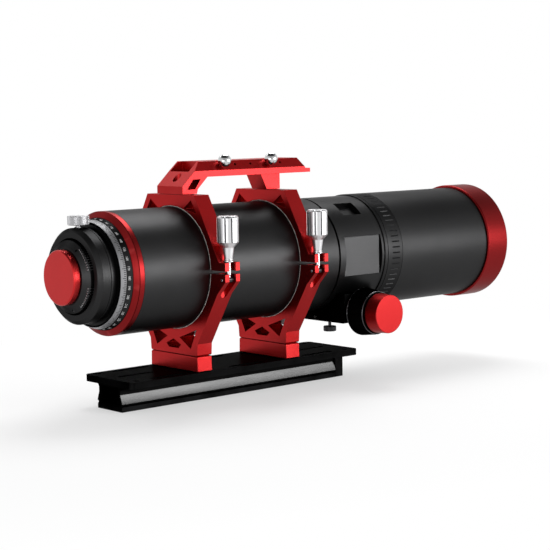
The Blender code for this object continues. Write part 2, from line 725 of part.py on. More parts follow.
def build_handle(look, chrome):
    hinge_spot = (RING_X[0], HINGE_Y, AXIS_H + SPLIT_Z)
    base = HANDLE_BASE
    top = base + HANDLE_TOP_H
    under = base + HANDLE_UNDER_H
    foot_front = RING_X[0] + RING_T / 2
    thick = foot_front - HANDLE_REAR
    # Points of the side view are (z, x), because the sections run along Y.
    side = [
        (base, HANDLE_REAR),
        (base + HANDLE_FOOT_H, HANDLE_REAR),
        (top, handle_slope_x(HANDLE_TOP_H)),
        (top, HANDLE_FRONT),
        (under + HANDLE_NOSE_H, HANDLE_NOSE_REAR),
        (under + HANDLE_NOSE_H, HANDLE_NOSE_FRONT),
        (under, HANDLE_NOSE_FRONT),
        (under, handle_slope_x(HANDLE_UNDER_H) + thick + 5.0),
        (base + HANDLE_FOOT_H - 3.4, foot_front + 1.4),
        (base, foot_front),
    ]
    bar = prism(side, -HANDLE_NEAR, HANDLE_FAR, "Y")
    edge = top - HANDLE_EDGE_H
    # The sloping edges are drawn a little past the top, so that the cut leaves no sliver there.
    rise = 3.0
    past = (HANDLE_EDGE_H + rise) / HANDLE_EDGE_H
    across = [
        (-HANDLE_NEAR - 1, base - 5),
        (HANDLE_FAR + 1, base - 5),
        (HANDLE_FAR + 1, edge - 0.01),
        (HANDLE_FAR, edge),
        (HANDLE_FAR - HANDLE_EDGE_FAR * past, top + rise),
        (-HANDLE_NEAR + HANDLE_EDGE_NEAR * past, top + rise),
        (-HANDLE_NEAR, edge),
        (-HANDLE_NEAR - 1, edge - 0.01),
    ]
    bar = common(bar, prism(across, HANDLE_REAR - 10, HANDLE_NOSE_FRONT + 10))
    leg_rear = RING_X[1] - RING_T / 2
    leg_front = RING_X[1] + RING_T / 2 - FIT
    leg = [
        (base, leg_rear),
        (under + 3, leg_rear - LEG_REACH * (under + 3 - base) / (under - base)),
        (under + 3, leg_front),
        (base, leg_front),
    ]
    bar = join(bar, prism(leg, -LEG_HALF_W, LEG_HALF_W, "Y"))
    notch_x = handle_slope_x(NOTCH_LOW)
    notch = box((notch_x, -NOTCH_NEAR, base + NOTCH_LOW - 3), (notch_x + NOTCH_LONG, NOTCH_FAR, top + 5))
    pocket = [(base + up, HANDLE_REAR + ahead) for up, ahead in HANDLE_POCKET]
    tools = [notch]
    for low, high in ((-HANDLE_NEAR - 5, -HANDLE_WEB_HALF), (HANDLE_WEB_HALF, HANDLE_FAR + 5)):
        tools.append(prism(pocket, low, high, "Y"))
    for x in RING_X:
        spot = (x, 0.0, 0.0)
        seat = base + 4.0
        tools.append(rod(HANDLE_SCREW_R + 0.5, seat, top + 5, "Z", spot))
        tools.append(rod(HANDLE_BOLT_R, base - 5, seat + 1, "Z", spot, FACETS_TINY))
    build_ball_studs(tools, chrome, top, hinge_spot)
    place(cut(bar, *tools), "handle_bar", look, hinge_spot)


def build_ball_studs(tools, look, top, origin):
    # Each stud stands square on the handle's near sloping edge. Its hole and the empty ones go to the cutters.
    slant = math.hypot(HANDLE_EDGE_NEAR, HANDLE_EDGE_H)
    out = Vector((0.0, -HANDLE_EDGE_H / slant, HANDLE_EDGE_NEAR / slant))
    seat_y = -HANDLE_NEAR + HANDLE_EDGE_NEAR * BALL_SEAT
    seat_z = top - HANDLE_EDGE_H * (1 - BALL_SEAT)
    tilt = out.to_track_quat("Z", "Y").to_matrix().to_4x4()
    for word, x in zip(("rear", "front"), BALL_X):
        seat = Vector((x, seat_y, seat_z))
        centre = BALL_R + FIT
        neck = BALL_NECK_R
        start = math.degrees(math.asin(neck / BALL_R))
        profile = [(-7.0, 0), (-7.0, neck)]
        for step in range(8):
            angle = math.radians(start + (180 - start) * step / 8)
            profile.append((centre - BALL_R * math.cos(angle), BALL_R * math.sin(angle)))
        profile.append((centre + BALL_R, 0))
        stud = revolve(profile, "Z", (0.0, 0.0, 0.0), FACETS_SMALL)
        stud.data.transform(Matrix.Translation(seat) @ tilt)
        place(stud, "handle_ball_" + word, look, origin)
        hole = rod(neck + FIT, -7.0 - FIT, 6.0, "Z", (0.0, 0.0, 0.0))
        hole.data.transform(Matrix.Translation(seat) @ tilt)
        tools.append(hole)
    for x in EDGE_HOLE_X:
        hole = rod(EDGE_HOLE_R, -EDGE_HOLE_DEPTH, 6.0, "Z", (0.0, 0.0, 0.0), FACETS_TINY)
        hole.data.transform(Matrix.Translation((x, seat_y, seat_z)) @ tilt)
        tools.append(hole)


def tube_profile(low, high, outer, inner):
    return [(low, inner), (low, outer), (high, outer), (high, inner)]


def build_rear(looks):
    place(revolve(tube_profile(TUBE_REAR, TUBE_FRONT, TUBE_R, TUBE_R - TUBE_WALL)), "main_tube", looks["black"])
    bevel = CELL_REAR + CELL_BEVEL_LEN
    cell = [
        (CELL_REAR, CELL_BORE_R),
        (CELL_REAR, CELL_REAR_R),
        (bevel, TUBE_R),
        (TUBE_REAR - FIT, TUBE_R),
        (TUBE_REAR - FIT, INNER_R),
        (TUBE_REAR + SPIGOT_LEN, INNER_R),
        (TUBE_REAR + SPIGOT_LEN, CELL_BORE_R),
    ]
    place(revolve(cell), "rear_cell", looks["red"])
    scale = [
        (SCALE_REAR, SCALE_BORE_R),
        (SCALE_REAR, SCALE_REAR_R),
        (SCALE_FRONT, CELL_REAR_R - FIT),
        (SCALE_FRONT, SCALE_BORE_R),
    ]
    place(revolve(scale), "rotator_scale_ring", looks["grey"])
    mid = REAR_LENS_X
    half = REAR_LENS_CELL_LEN / 2
    lens_cell = [
        (mid - half, REAR_LENS_R + FIT),
        (mid - half, INNER_R),
        (mid + half, INNER_R),
        (mid + half, REAR_LENS_R - 4),
        (mid + half - 3, REAR_LENS_R - 4),
        (mid + half - 3, REAR_LENS_R + FIT),
    ]
    place(revolve(lens_cell, count=FACETS_HIDDEN), "rear_lens_cell", looks["black"])
    seat = mid + half - 3 - FIT
    first = lens(seat - 11, seat, REAR_LENS_R, 3.0, 3.0)
    place(first, "rear_lens_front", looks["glass"])
    second = lens(seat - FIT - 17, seat - FIT - 11, REAR_LENS_R, 0.0, -3.0)
    place(second, "rear_lens_rear", looks["glass"])
    back = seat - FIT - 17 - FIT
    keeper = tube_profile(back - 4, back, REAR_LENS_R, REAR_LENS_R - 5)
    place(revolve(keeper, count=FACETS_HIDDEN), "rear_lens_retainer", looks["black"])
    for word, x, bore in zip(("rear", "front"), BAFFLE_X, BAFFLE_BORE_R):
        ring = tube_profile(x - BAFFLE_T / 2, x + BAFFLE_T / 2, INNER_R, bore)
        place(revolve(ring, count=FACETS_HIDDEN), "tube_baffle_" + word, looks["black"])


def lens(rear, front, radius, rear_bulge, front_bulge, count=FACETS_HIDDEN):
    # Bulge is how far a face stands out at its middle, so that a negative one is hollow.
    profile = []
    for share in (0.0, 0.6, 1.0):
        profile.append((rear - rear_bulge + rear_bulge * share * share + max(rear_bulge, 0), radius * share))
    for share in (1.0, 0.6, 0.0):
        profile.append((front + front_bulge - front_bulge * share * share - max(front_bulge, 0), radius * share))
    return revolve(profile, count=count)


def build_rotator(looks):
    spin = on_axis(ROTATOR_REAR)
    spigot = CELL_REAR + 2.0
    body = [
        (ROTATOR_REAR, RECESS_R),
        (ROTATOR_REAR, ROTATOR_R - ROTATOR_EDGE),
        (ROTATOR_REAR + ROTATOR_EDGE, ROTATOR_R),
        (ROTATOR_FRONT - ROTATOR_NECK_LEN, ROTATOR_R),
        (ROTATOR_FRONT - ROTATOR_NECK_LEN, SCALE_BORE_R - FIT),
        (spigot, SCALE_BORE_R - FIT),
        (spigot, ADAPTER_SPIGOT_R + FIT),
        (ROTATOR_REAR + RECESS_DEPTH, ADAPTER_SPIGOT_R + FIT),
        (ROTATOR_REAR + RECESS_DEPTH, RECESS_R),
    ]
    body = revolve(body)
    screw_x = ROTATOR_FRONT - ROTATOR_SCREW_BACK
    spot = (screw_x, 0.0, AXIS_H)
    stem_low = RECESS_R + 2.2
    body = cut(body, rod(ROTATOR_STEM_R + FIT, stem_low - 2 * FIT, ROTATOR_R + 5, "Z", spot))
    place(body, "rotator_body", looks["black"], spin)
    keeper = tube_profile(spigot + FIT, spigot + 5, SCALE_BORE_R + 3.5, ADAPTER_SPIGOT_R + 4)
    place(revolve(keeper, count=FACETS_HIDDEN), "rotator_retaining_ring", looks["black"], spin)
    step = ROTATOR_REAR - ADAPTER_STEP
    floor = ROTATOR_REAR + RECESS_DEPTH - FIT
    adapter = [
        (ADAPTER_REAR, ADAPTER_BORE_R),
        (ADAPTER_REAR, ADAPTER_TIP_R),
        (step, ADAPTER_R),
        (floor, ADAPTER_R),
        (floor, ADAPTER_SPIGOT_R),
        (floor + 10, ADAPTER_SPIGOT_R),
        (floor + 10, ADAPTER_BORE_R),
    ]
    adapter = revolve(adapter)
    notches = []
    for middle in GRIP_GROUPS:
        for number in range(GRIP_NOTCHES):
            turn = math.radians(middle + (number - (GRIP_NOTCHES - 1) / 2) * GRIP_PITCH)
            tooth = box(
                (step - 0.8, ADAPTER_R - GRIP_NOTCH_DEPTH, -GRIP_NOTCH_W / 2),
                (step + 5.2, ADAPTER_R + 3, GRIP_NOTCH_W / 2),
            )
            tooth.data.transform(Matrix.Translation((0.0, 0.0, AXIS_H)) @ Matrix.Rotation(turn, 4, "X"))
            notches.append(tooth)
    place(cut(adapter, gather("notches", notches)), "camera_adapter", looks["black"], spin)
    head = AXIS_H + ROTATOR_R + ROTATOR_SCREW_GAP
    screw = [
        (AXIS_H + stem_low, 0),
        (AXIS_H + stem_low, ROTATOR_STEM_R),
        (head, ROTATOR_STEM_R),
        (head, ROTATOR_SCREW_R),
        (head + ROTATOR_SCREW_H - 0.6, ROTATOR_SCREW_R),
        (head + ROTATOR_SCREW_H, ROTATOR_SCREW_R - 0.6),
        (head + ROTATOR_SCREW_H, 0),
    ]
    place(revolve(screw, "Z", (screw_x, 0.0, 0.0), FACETS_KNOB), "rotator_lock_screw", looks["silver"], (screw_x, 0.0, head))
    cap = [
        (CAP_REAR, 0),
        (CAP_REAR, CAP_R - CAP_EDGE),
        (CAP_REAR + CAP_EDGE, CAP_R),
        (CAP_FRONT, CAP_R),
        (CAP_FRONT, ADAPTER_BORE_R - FIT),
        (CAP_FRONT + CAP_PLUG_LEN, ADAPTER_BORE_R - FIT),
        (CAP_FRONT + CAP_PLUG_LEN, 0),
    ]
    place(revolve(cap), "rear_cap", looks["red"], on_axis(CAP_FRONT))


def build_housing(looks):
    housing = [
        (HOUSING_REAR - 8, HOUSING_BORE_R),
        (HOUSING_REAR - 8, INNER_R),
        (HOUSING_REAR, INNER_R),
        (HOUSING_REAR, TUBE_R - 0.7),
        (HOUSING_REAR + 0.7, TUBE_R),
        (HOUSING_FRONT, TUBE_R),
        (HOUSING_FRONT, HOUSING_BORE_R),
    ]
    housing = revolve(housing)
    # The tile lies in a flat-bottomed seat that is open a little further at its front end.
    seat = box(
        (TILE_X - TILE_W / 2 - FIT, -TUBE_R - 6, AXIS_H - TILE_H / 2 - FIT),
        (TILE_X + TILE_W / 2 + TILE_FRONT_GAP, TILE_FLAT_Y, AXIS_H + TILE_H / 2 + FIT),
    )
    recess = box(
        (POCKET_X - POCKET_LEN / 2, -POCKET_W / 2, TUBE_R - POCKET_DEPTH),
        (POCKET_X + POCKET_LEN / 2, POCKET_W / 2, TUBE_R + 1.0),
    )
    tilt = Matrix.Rotation(math.radians(POCKET_TILT), 4, "X")
    recess.data.transform(Matrix.Translation((0.0, 0.0, AXIS_H)) @ tilt)
    reach = PITCH_R + ADDENDUM + 2.2
    opening = box(
        (DRIVE_X - reach, -PINION_HALF_W - 2, DRIVE_Z - 12),
        (DRIVE_X + reach, PINION_HALF_W + 2, AXIS_H - HOUSING_BORE_R + 4),
    )
    trough = rod(SHAFT_R + 2 * FIT, -TUBE_R, TUBE_R, "Y", (DRIVE_X, 0.0, DRIVE_Z))
    place(cut(housing, seat, recess, opening, trough), "focuser_housing", looks["black"])
    tile = box(
        (TILE_X - TILE_W / 2, TILE_FLAT_Y - FIT - TILE_T, AXIS_H - TILE_H / 2),
        (TILE_X + TILE_W / 2, TILE_FLAT_Y - FIT, AXIS_H + TILE_H / 2),
    )
    place(tile, "cover_tile", looks["tile"])


def build_block(looks):
    half = BLOCK_LEN / 2
    outline = [
        (-BLOCK_HALF_W, BLOCK_TOP),
        (-BLOCK_HALF_W, BLOCK_BOTTOM + BLOCK_EDGE),
        (-BLOCK_HALF_W + BLOCK_EDGE, BLOCK_BOTTOM),
        (BLOCK_HALF_W - BLOCK_EDGE, BLOCK_BOTTOM),
        (BLOCK_HALF_W, BLOCK_BOTTOM + BLOCK_EDGE),
        (BLOCK_HALF_W, BLOCK_TOP),
    ]
    block = prism(outline, DRIVE_X - half, DRIVE_X + half)
    shaft = (DRIVE_X, 0.0, DRIVE_Z)
    reach = PITCH_R + ADDENDUM + 1.6
    cavity = box(
        (DRIVE_X - reach, -PINION_HALF_W - 1, DRIVE_Z - reach),
        (DRIVE_X + reach, PINION_HALF_W + 1, BLOCK_TOP + 5),
    )
    tools = [
        rod(TUBE_R + FIT, DRIVE_X - half - 5, DRIVE_X + half + 5, "X", (0.0, 0.0, AXIS_H), FACETS_BIG),
        rod(SHAFT_R + FIT, -BLOCK_HALF_W - 5, BLOCK_HALF_W + 5, "Y", shaft),
        cavity,
        rod(LOCK_STEM_R + FIT, BLOCK_BOTTOM - 5, DRIVE_Z - SHAFT_R + 1, "Z", (LOCK_X, LOCK_Y, 0.0), FACETS_TINY),
    ]
    for word, sign in (("near", -1), ("far", 1)):
        inner = BLOCK_HALF_W - BUSH_LEN
        low, high = sorted((sign * inner, sign * (BLOCK_HALF_W + 5)))
        tools.append(rod(BUSH_R + FIT, low, high, "Y", shaft))
        low, high = sorted((sign * (inner + FIT), sign * (BLOCK_HALF_W + KNOB_STANDOFF - 2 * FIT)))
        bush = revolve(tube_profile(low, high, BUSH_R, SHAFT_R + FIT), "Y", shaft, FACETS_SMALL)
        place(bush, "shaft_bush_" + word, looks["brass"])
    place(cut(block, *tools), "focuser_block", looks["black"])
    head = BLOCK_BOTTOM - LOCK_DROP
    stem_top = DRIVE_Z - SHAFT_R
    screw = [
        (head - LOCK_HEAD_H, 0),
        (head - LOCK_HEAD_H, LOCK_HEAD_R - 0.6),
        (head - LOCK_HEAD_H + 0.6, LOCK_HEAD_R),
        (head, LOCK_HEAD_R),
        (head, LOCK_STEM_R),
        (stem_top, LOCK_STEM_R),
        (stem_top, 0),
    ]
    spot = (LOCK_X, LOCK_Y, 0.0)
    place(revolve(screw, "Z", spot, FACETS_KNOB), "focus_lock_screw", looks["silver"], (LOCK_X, LOCK_Y, head))


def pinion_points():
    # Straight-sided teeth, centred so that a gap faces straight up at rest.
    points = []
    step = 2 * math.pi / PINION_TEETH
    root = PITCH_R - DEDENDUM
    tip = PITCH_R + ADDENDUM
    half = (TOOTH_PITCH / 2 - TOOTH_PLAY) / 2
    lean = math.tan(math.radians(24))
    for tooth in range(PINION_TEETH):
        middle = step * (tooth + 0.5) + math.pi / 2
        for radius, sign in ((root, -1), (tip, -1), (tip, 1), (root, 1)):
            width = half - (radius - PITCH_R) * lean
            angle = middle + sign * width / radius
            points.append((radius * math.sin(angle), radius * math.cos(angle)))
    return points


def rack_points(back):
    # Teeth point down, and one stands in the pinion's upper gap at rest.
    points = []
    half = (TOOTH_PITCH / 2 - TOOTH_PLAY) / 2
    lean = math.tan(math.radians(20))
    pitch_z = DRIVE_Z + PITCH_R
    for tooth in range(RACK_TEETH + 1):
        middle = DRIVE_X + (tooth - RACK_TEETH / 2) * TOOTH_PITCH
        for depth, sign in ((DEDENDUM, -1), (-ADDENDUM, -1), (-ADDENDUM, 1), (DEDENDUM, 1)):
            width = half + depth * lean
            points.append((pitch_z + depth, middle + sign * width))
    ends = (points[0][1] - 0.4, points[-1][1] + 0.4)
    top = pitch_z + DEDENDUM + back
    return [(points[0][0], ends[0])] + points + [(points[-1][0], ends[1]), (top, ends[1]), (top, ends[0])]


def build_drive(looks):
    shaft_spot = (DRIVE_X, 0.0, DRIVE_Z)
    gear = prism(pinion_points(), -PINION_HALF_W, PINION_HALF_W, "Y", shaft_spot)
    end = KNOB_Y + COARSE_LEN - 2.0
    shaft = join(rod(SHAFT_R, -end, end, "Y", shaft_spot), gear)
    stub = rod(FINE_STUB_R + FIT, -end - 5, -end + FINE_STUB_LEN, "Y", shaft_spot)
    place(cut(shaft, stub), "pinion_shaft", looks["steel"], shaft_spot)
    for word, sign in (("near", -1), ("far", 1)):
        flutes = COARSE_FLUTES
        inner = sign * KNOB_Y
        outer = sign * (KNOB_Y + COARSE_LEN)
        rim = sign * (KNOB_Y + COARSE_LEN - 2.0)
        knob = stack(
            [
                (inner, fluted_points(COARSE_R, COARSE_FLUTE_DEPTH, flutes)),
                (rim, fluted_points(COARSE_TIP_R, COARSE_FLUTE_DEPTH, flutes)),
                (outer, fluted_points(COARSE_TIP_R - 1.2, 0.0, flutes)),
            ],
            "Y",
            shaft_spot,
        )
        low, high = sorted((inner - sign * 5, outer + sign * 5))
        knob = cut(knob, rod(SHAFT_R + FIT, low, high, "Y", shaft_spot))
        place(knob, "coarse_knob_" + word, looks["black"], shaft_spot)
    face = -FINE_Y - FINE_LEN
    fine = [
        (face, 0),
        (face, FINE_FACE_R - FINE_EDGE),
        (face + FINE_EDGE, FINE_FACE_R),
        (-FINE_Y - 2.0, FINE_BASE_R),
        (-FINE_Y, FINE_BASE_R - 0.8),
        (-FINE_Y, FINE_STUB_R),
        (-FINE_Y + FINE_STUB_LEN, FINE_STUB_R),
        (-FINE_Y + FINE_STUB_LEN, 0),
    ]
    place(revolve(fine, "Y", shaft_spot, FACETS_KNOB), "fine_knob", looks["red"], shaft_spot)


def build_carriage(looks):
    inner = CARRIAGE_R - CARRIAGE_WALL
    carriage = [
        (CARRIAGE_REAR, inner),
        (CARRIAGE_REAR, CARRIAGE_R),
        (CARRIAGE_FRONT, CARRIAGE_R),
        (CARRIAGE_FRONT, LENS_R + FIT),
        (LENS_SEAT, LENS_R + FIT),
        (LENS_SEAT, LENS_R - 4),
        (LENS_SEAT - 4, LENS_R - 4),
        (LENS_SEAT - 4, inner),
    ]
    carriage = revolve(carriage)
    rack = prism(rack_points(RACK_BACK), -RACK_HALF_W, RACK_HALF_W, "Y")
    ends = [vertex.co.x for vertex in rack.data.vertices]
    slot = box(
        (min(ends) - FIT, -RACK_HALF_W - FIT, AXIS_H - CARRIAGE_R - 5),
        (max(ends) + FIT, RACK_HALF_W + FIT, AXIS_H - inner + 5),
    )
    place(cut(carriage, slot), "objective_cell", looks["black"])
    place(rack, "focus_rack", looks["brass"])
    edge = LENS_R - LENS_RIM
    share = (edge / LENS_R) ** 2
    rear = LENS_SEAT + FIT
    back = lens(rear, rear + REAR_LENS_T, LENS_R, -3.0, REAR_LENS_BULGE)
    place(back, "objective_lens_rear", looks["glass"])
    gap = rear + REAR_LENS_T - REAR_LENS_BULGE * share + FIT
    ring = tube_profile(gap, gap + SPACER_T, LENS_R, edge)
    place(revolve(ring, count=FACETS_HIDDEN), "objective_spacer", looks["black"])
    front = gap + SPACER_T + FIT
    face = front + FRONT_LENS_T
    place(lens(front, face, LENS_R, 0.0, FRONT_LENS_BULGE, FACETS_BIG), "objective_lens_front", looks["glass"])
    keep = face - FRONT_LENS_BULGE * share + FIT
    ring = tube_profile(keep, CARRIAGE_FRONT, LENS_R, edge)
    place(revolve(ring, count=FACETS_HIDDEN), "objective_retainer", looks["black"])


def build_front(looks):
    barrel = [
        (COLLAR_REAR, BARREL_BORE_R),
        (COLLAR_REAR, COLLAR_R),
        (COLLAR_FRONT, COLLAR_R),
        (COLLAR_FRONT, BARREL_R),
        (BARREL_FRONT, BARREL_R),
        (BARREL_FRONT, BARREL_BORE_R),
    ]
    place(revolve(barrel), "objective_barrel", looks["black"])
    ring = tube_profile(LOCK_RING_REAR, LOCK_RING_FRONT, COLLAR_R, BARREL_R + FIT)
    place(revolve(ring), "dew_lock_ring", looks["black"], on_axis(LOCK_RING_REAR))
    slide = on_axis(SHIELD_REAR)
    shield = tube_profile(SHIELD_REAR, SHIELD_FRONT, COLLAR_R, SHIELD_BORE_R)
    place(revolve(shield), "dew_shield_tube", looks["black"], slide)
    rim = [
        (RIM_REAR, SHIELD_BORE_R),
        (RIM_REAR, RIM_R - 1.2),
        (RIM_REAR + 1.2, RIM_R),
        (RIM_FRONT - RIM_EDGE, RIM_R),
        (RIM_FRONT, RIM_R - RIM_EDGE),
        (RIM_FRONT, SHIELD_BORE_R),
    ]
    place(revolve(rim), "dew_shield_rim", looks["red"], slide)


def main():
    clear_scene()
    looks = {
        "black": material("satin black anodised", (0.02, 0.02, 0.022), 0.42, 0.6),
        "red": material("red anodised", (0.42, 0.012, 0.018), 0.34, 0.7),
        "silver": material("silver anodised", (0.75, 0.75, 0.76), 0.3, 1.0),
        "steel": material("bright steel", (0.6, 0.6, 0.62), 0.28, 1.0),
        "chrome": material("chrome", (0.86, 0.87, 0.88), 0.06, 1.0),
        "brass": material("brass", (0.72, 0.52, 0.2), 0.32, 1.0),
        "grey": material("graduated grey", (0.32, 0.33, 0.34), 0.4, 0.6),
        "tile": material("brushed grey tile", (0.4, 0.4, 0.41), 0.45, 0.8),
        "felt": material("pale ring liner", (0.62, 0.6, 0.58), 0.9, 0.0),
        "glass": material("coated glass", (0.55, 0.68, 0.66), 0.04, 0.0, 0.35),
    }
    build_plate(looks["black"])
    build_risers(looks["red"])
    build_rings(looks["red"], looks["felt"], looks["steel"])
    build_clamps(looks["silver"], looks["steel"])
    build_handle(looks["red"], looks["chrome"])
    build_rear(looks)
    build_rotator(looks)
    build_housing(looks)
    build_block(looks)
    build_drive(looks)
    build_carriage(looks)
    build_front(looks)


main()
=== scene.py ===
import json
import math

import bmesh
import bpy
from mathutils import Matrix, Vector

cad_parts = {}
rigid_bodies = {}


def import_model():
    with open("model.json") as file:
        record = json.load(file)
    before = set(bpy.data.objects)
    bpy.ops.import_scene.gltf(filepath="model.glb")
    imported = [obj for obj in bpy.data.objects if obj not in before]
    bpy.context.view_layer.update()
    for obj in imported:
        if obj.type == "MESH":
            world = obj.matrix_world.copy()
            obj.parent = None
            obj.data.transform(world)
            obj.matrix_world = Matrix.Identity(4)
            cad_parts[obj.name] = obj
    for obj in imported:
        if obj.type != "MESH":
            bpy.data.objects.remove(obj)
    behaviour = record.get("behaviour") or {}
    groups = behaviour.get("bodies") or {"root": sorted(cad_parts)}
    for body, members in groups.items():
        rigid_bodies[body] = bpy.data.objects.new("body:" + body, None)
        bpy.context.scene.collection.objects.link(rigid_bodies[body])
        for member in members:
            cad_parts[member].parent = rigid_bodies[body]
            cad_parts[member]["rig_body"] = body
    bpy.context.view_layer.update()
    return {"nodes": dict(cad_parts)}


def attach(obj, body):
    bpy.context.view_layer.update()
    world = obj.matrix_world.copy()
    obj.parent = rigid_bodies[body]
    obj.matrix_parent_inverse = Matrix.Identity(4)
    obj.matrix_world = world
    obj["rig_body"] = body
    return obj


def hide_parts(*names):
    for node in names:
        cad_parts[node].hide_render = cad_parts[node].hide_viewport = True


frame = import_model()
nodes = frame["nodes"]

MM = 0.001
WORDS = ("rear", "front")

# Sizes that several pieces share
AXIS_H = 141.6
TUBE_R = 64.0
SPIGOT_R = 60.7
JOINT_REAR, JOINT_FRONT, JOINT_R = 112.2, 114.9, 61.3
FRONT_R = 65.4
SHIELD_BORE_R = 63.1
TUBE_LINE = (0.0, 0.0, AXIS_H)
DRIVE = (149.0, 0.0, 79.0)
RING_X = (-61.6, 62.6)
CLAMP_Y = -82.4
STEPS = 192


# Node materials

class Graph:
    """A short way to add and link the nodes of one material."""

    def __init__(self, tree):
        self.tree = tree
        self.coords = None

    def node(self, kind, **inputs):
        made = self.tree.nodes.new("ShaderNode" + kind)
        for key, value in inputs.items():
            self.feed(made.inputs[key.replace("_", " ")], value)
        return made

    def feed(self, socket, value):
        if isinstance(value, bpy.types.NodeSocket):
            self.tree.links.new(value, socket)
        else:
            socket.default_value = value

    def place(self, scale=(1.0, 1.0, 1.0), shift=(0.0, 0.0, 0.0)):
        if self.coords is None:
            self.coords = self.node("TexCoord").outputs["Object"]
        made = self.node("Mapping", Vector=self.coords)
        made.inputs["Scale"].default_value = scale
        made.inputs["Location"].default_value = shift
        return made.outputs["Vector"]

    def noise(self, scale, vector=None, detail=3.0, rough=0.55):
        made = self.node("TexNoise", Vector=vector or self.place(), Scale=scale, Detail=detail,
                         Roughness=rough)
        return made.outputs["Fac"]

    def math(self, operation, first, second=0.0):
        made = self.tree.nodes.new("ShaderNodeMath")
        made.operation = operation
        self.feed(made.inputs[0], first)
        self.feed(made.inputs[1], second)
        return made.outputs[0]

    def vector_math(self, operation, first, second=None):
        made = self.tree.nodes.new("ShaderNodeVectorMath")
        made.operation = operation
        self.feed(made.inputs[0], first)
        if second:
            made.inputs[1].default_value = second
        return made.outputs["Value"]

    def span(self, value, low, high, start=0.25, end=0.75):
        made = self.node("MapRange", Value=value)
        for key, number in (("From Min", start), ("From Max", end), ("To Min", low), ("To Max", high)):
            made.inputs[key].default_value = number
        return made.outputs["Result"]

    def blend(self, share, first, second):
        made = self.tree.nodes.new("ShaderNodeMix")
        made.data_type = "RGBA"
        factor, colour_a, colour_b = made.inputs[0], made.inputs[6], made.inputs[7]
        self.feed(factor, share)
        self.feed(colour_a, first)
        self.feed(colour_b, second)
        return made.outputs[2]

    def turning(self, axis, centre):
        # Coordinates of lathe lines: along the axis and out from it, but not around it.
        spot = self.node("SeparateXYZ", Vector=self.place(shift=[-v * MM for v in centre]))
        first, second = [n for n in "XYZ" if n != axis]
        square = [self.math("MULTIPLY", spot.outputs[n], spot.outputs[n]) for n in (first, second)]
        out = self.math("SQRT", self.math("ADD", square[0], square[1]))
        return self.node("CombineXYZ", X=spot.outputs[axis], Y=out).outputs["Vector"]


CLOUD_SCALE, SMUDGE_SCALE, LATHE_SCALE = 34.0, 9.0, 2600.0
GRAIN_SHADE = 1.6
WEAR_MOST = 0.35
BUMP_HEIGHT = 0.0002


def tone(colour, factor):
    return tuple(min(1.0, v * factor) for v in colour) + (1.0,)


def finish_look(name, colour, metal, rough, spread=0.05, tint=0.1, grain=1500.0, bump=0.06, lathe=None,
                brush=None, wear=None, coat=0.0, coat_rough=0.2, shine=0.5, rim=1.0):
    """A surface with clouded colour, fine grain, uneven roughness and, with wear, paler edges."""
    look = bpy.data.materials.new(name)
    look.use_nodes = True
    graph = Graph(look.node_tree)
    shader = look.node_tree.nodes["Principled BSDF"]
    cloud = graph.noise(CLOUD_SCALE, detail=5.0)
    smudge = graph.noise(SMUDGE_SCALE, detail=2.0)
    if lathe:
        fine = graph.noise(LATHE_SCALE, graph.turning(*lathe), detail=2.0, rough=0.7)
    elif brush:
        fine = graph.noise(grain, graph.place(scale=brush), detail=3.0, rough=0.65)
    else:
        fine = graph.noise(grain, detail=3.0, rough=0.6)
    shade = graph.blend(cloud, tone(colour, 1 - tint), tone(colour, 1 + tint))
    shade = graph.blend(graph.span(fine, 0.0, 0.5), shade, tone(colour, 1 - GRAIN_SHADE * tint))
    if wear:
        edge = graph.span(graph.node("NewGeometry").outputs["Pointiness"], 0.0, WEAR_MOST, 0.53, 0.65)
        rub = graph.math("MULTIPLY", edge, graph.span(cloud, 0.2, 1.0, 0.35, 0.6))
        shade = graph.blend(rub, shade, (*wear, 1.0))
    mixed = graph.math("ADD", graph.span(fine, -spread, spread),
                       graph.span(smudge, -spread, spread, 0.3, 0.7))
    graph.feed(shader.inputs["Base Color"], shade)
    graph.feed(shader.inputs["Roughness"], graph.math("ADD", mixed, rough))
    shader.inputs["Metallic"].default_value = metal
    shader.inputs["Specular IOR Level"].default_value = shine
    shader.inputs["Specular Tint"].default_value = (rim, rim, rim, 1.0)
    shader.inputs["Coat Weight"].default_value = coat
    shader.inputs["Coat Roughness"].default_value = coat_rough
    lift = graph.node("Bump", Height=fine)
    lift.inputs["Strength"].default_value = bump
    lift.inputs["Distance"].default_value = BUMP_HEIGHT
    graph.feed(shader.inputs["Normal"], lift.outputs["Normal"])
    return look


RED_MILLED = (0.38, 0.005, 0.006)
RED_TURNED = (0.205, 0.005, 0.006)
RED_CAP = (0.5, 0.012, 0.013)
PALE_RED = (0.5, 0.06, 0.06)
GREY_WEAR = (0.05, 0.05, 0.052)
SILVER = (0.7, 0.7, 0.71)
ROUND_TUBE = ("X", TUBE_LINE)
ROUND_DRIVE = ("Y", DRIVE)
ALONG_X = (0.05, 1.0, 1.0)
ALONG_Z = (1.0, 1.0, 0.15)


def glass_look():
    look = finish_look("coated_glass", (0.93, 0.96, 0.95), 0.0, 0.03, spread=0.012, tint=0.03, bump=0.004)
    shader = look.node_tree.nodes["Principled BSDF"]
    shader.inputs["Transmission Weight"].default_value = 1.0
    shader.inputs["IOR"].default_value = 1.5
    shader.inputs["Specular Tint"].default_value = (0.35, 0.75, 0.6, 1.0)
    return look


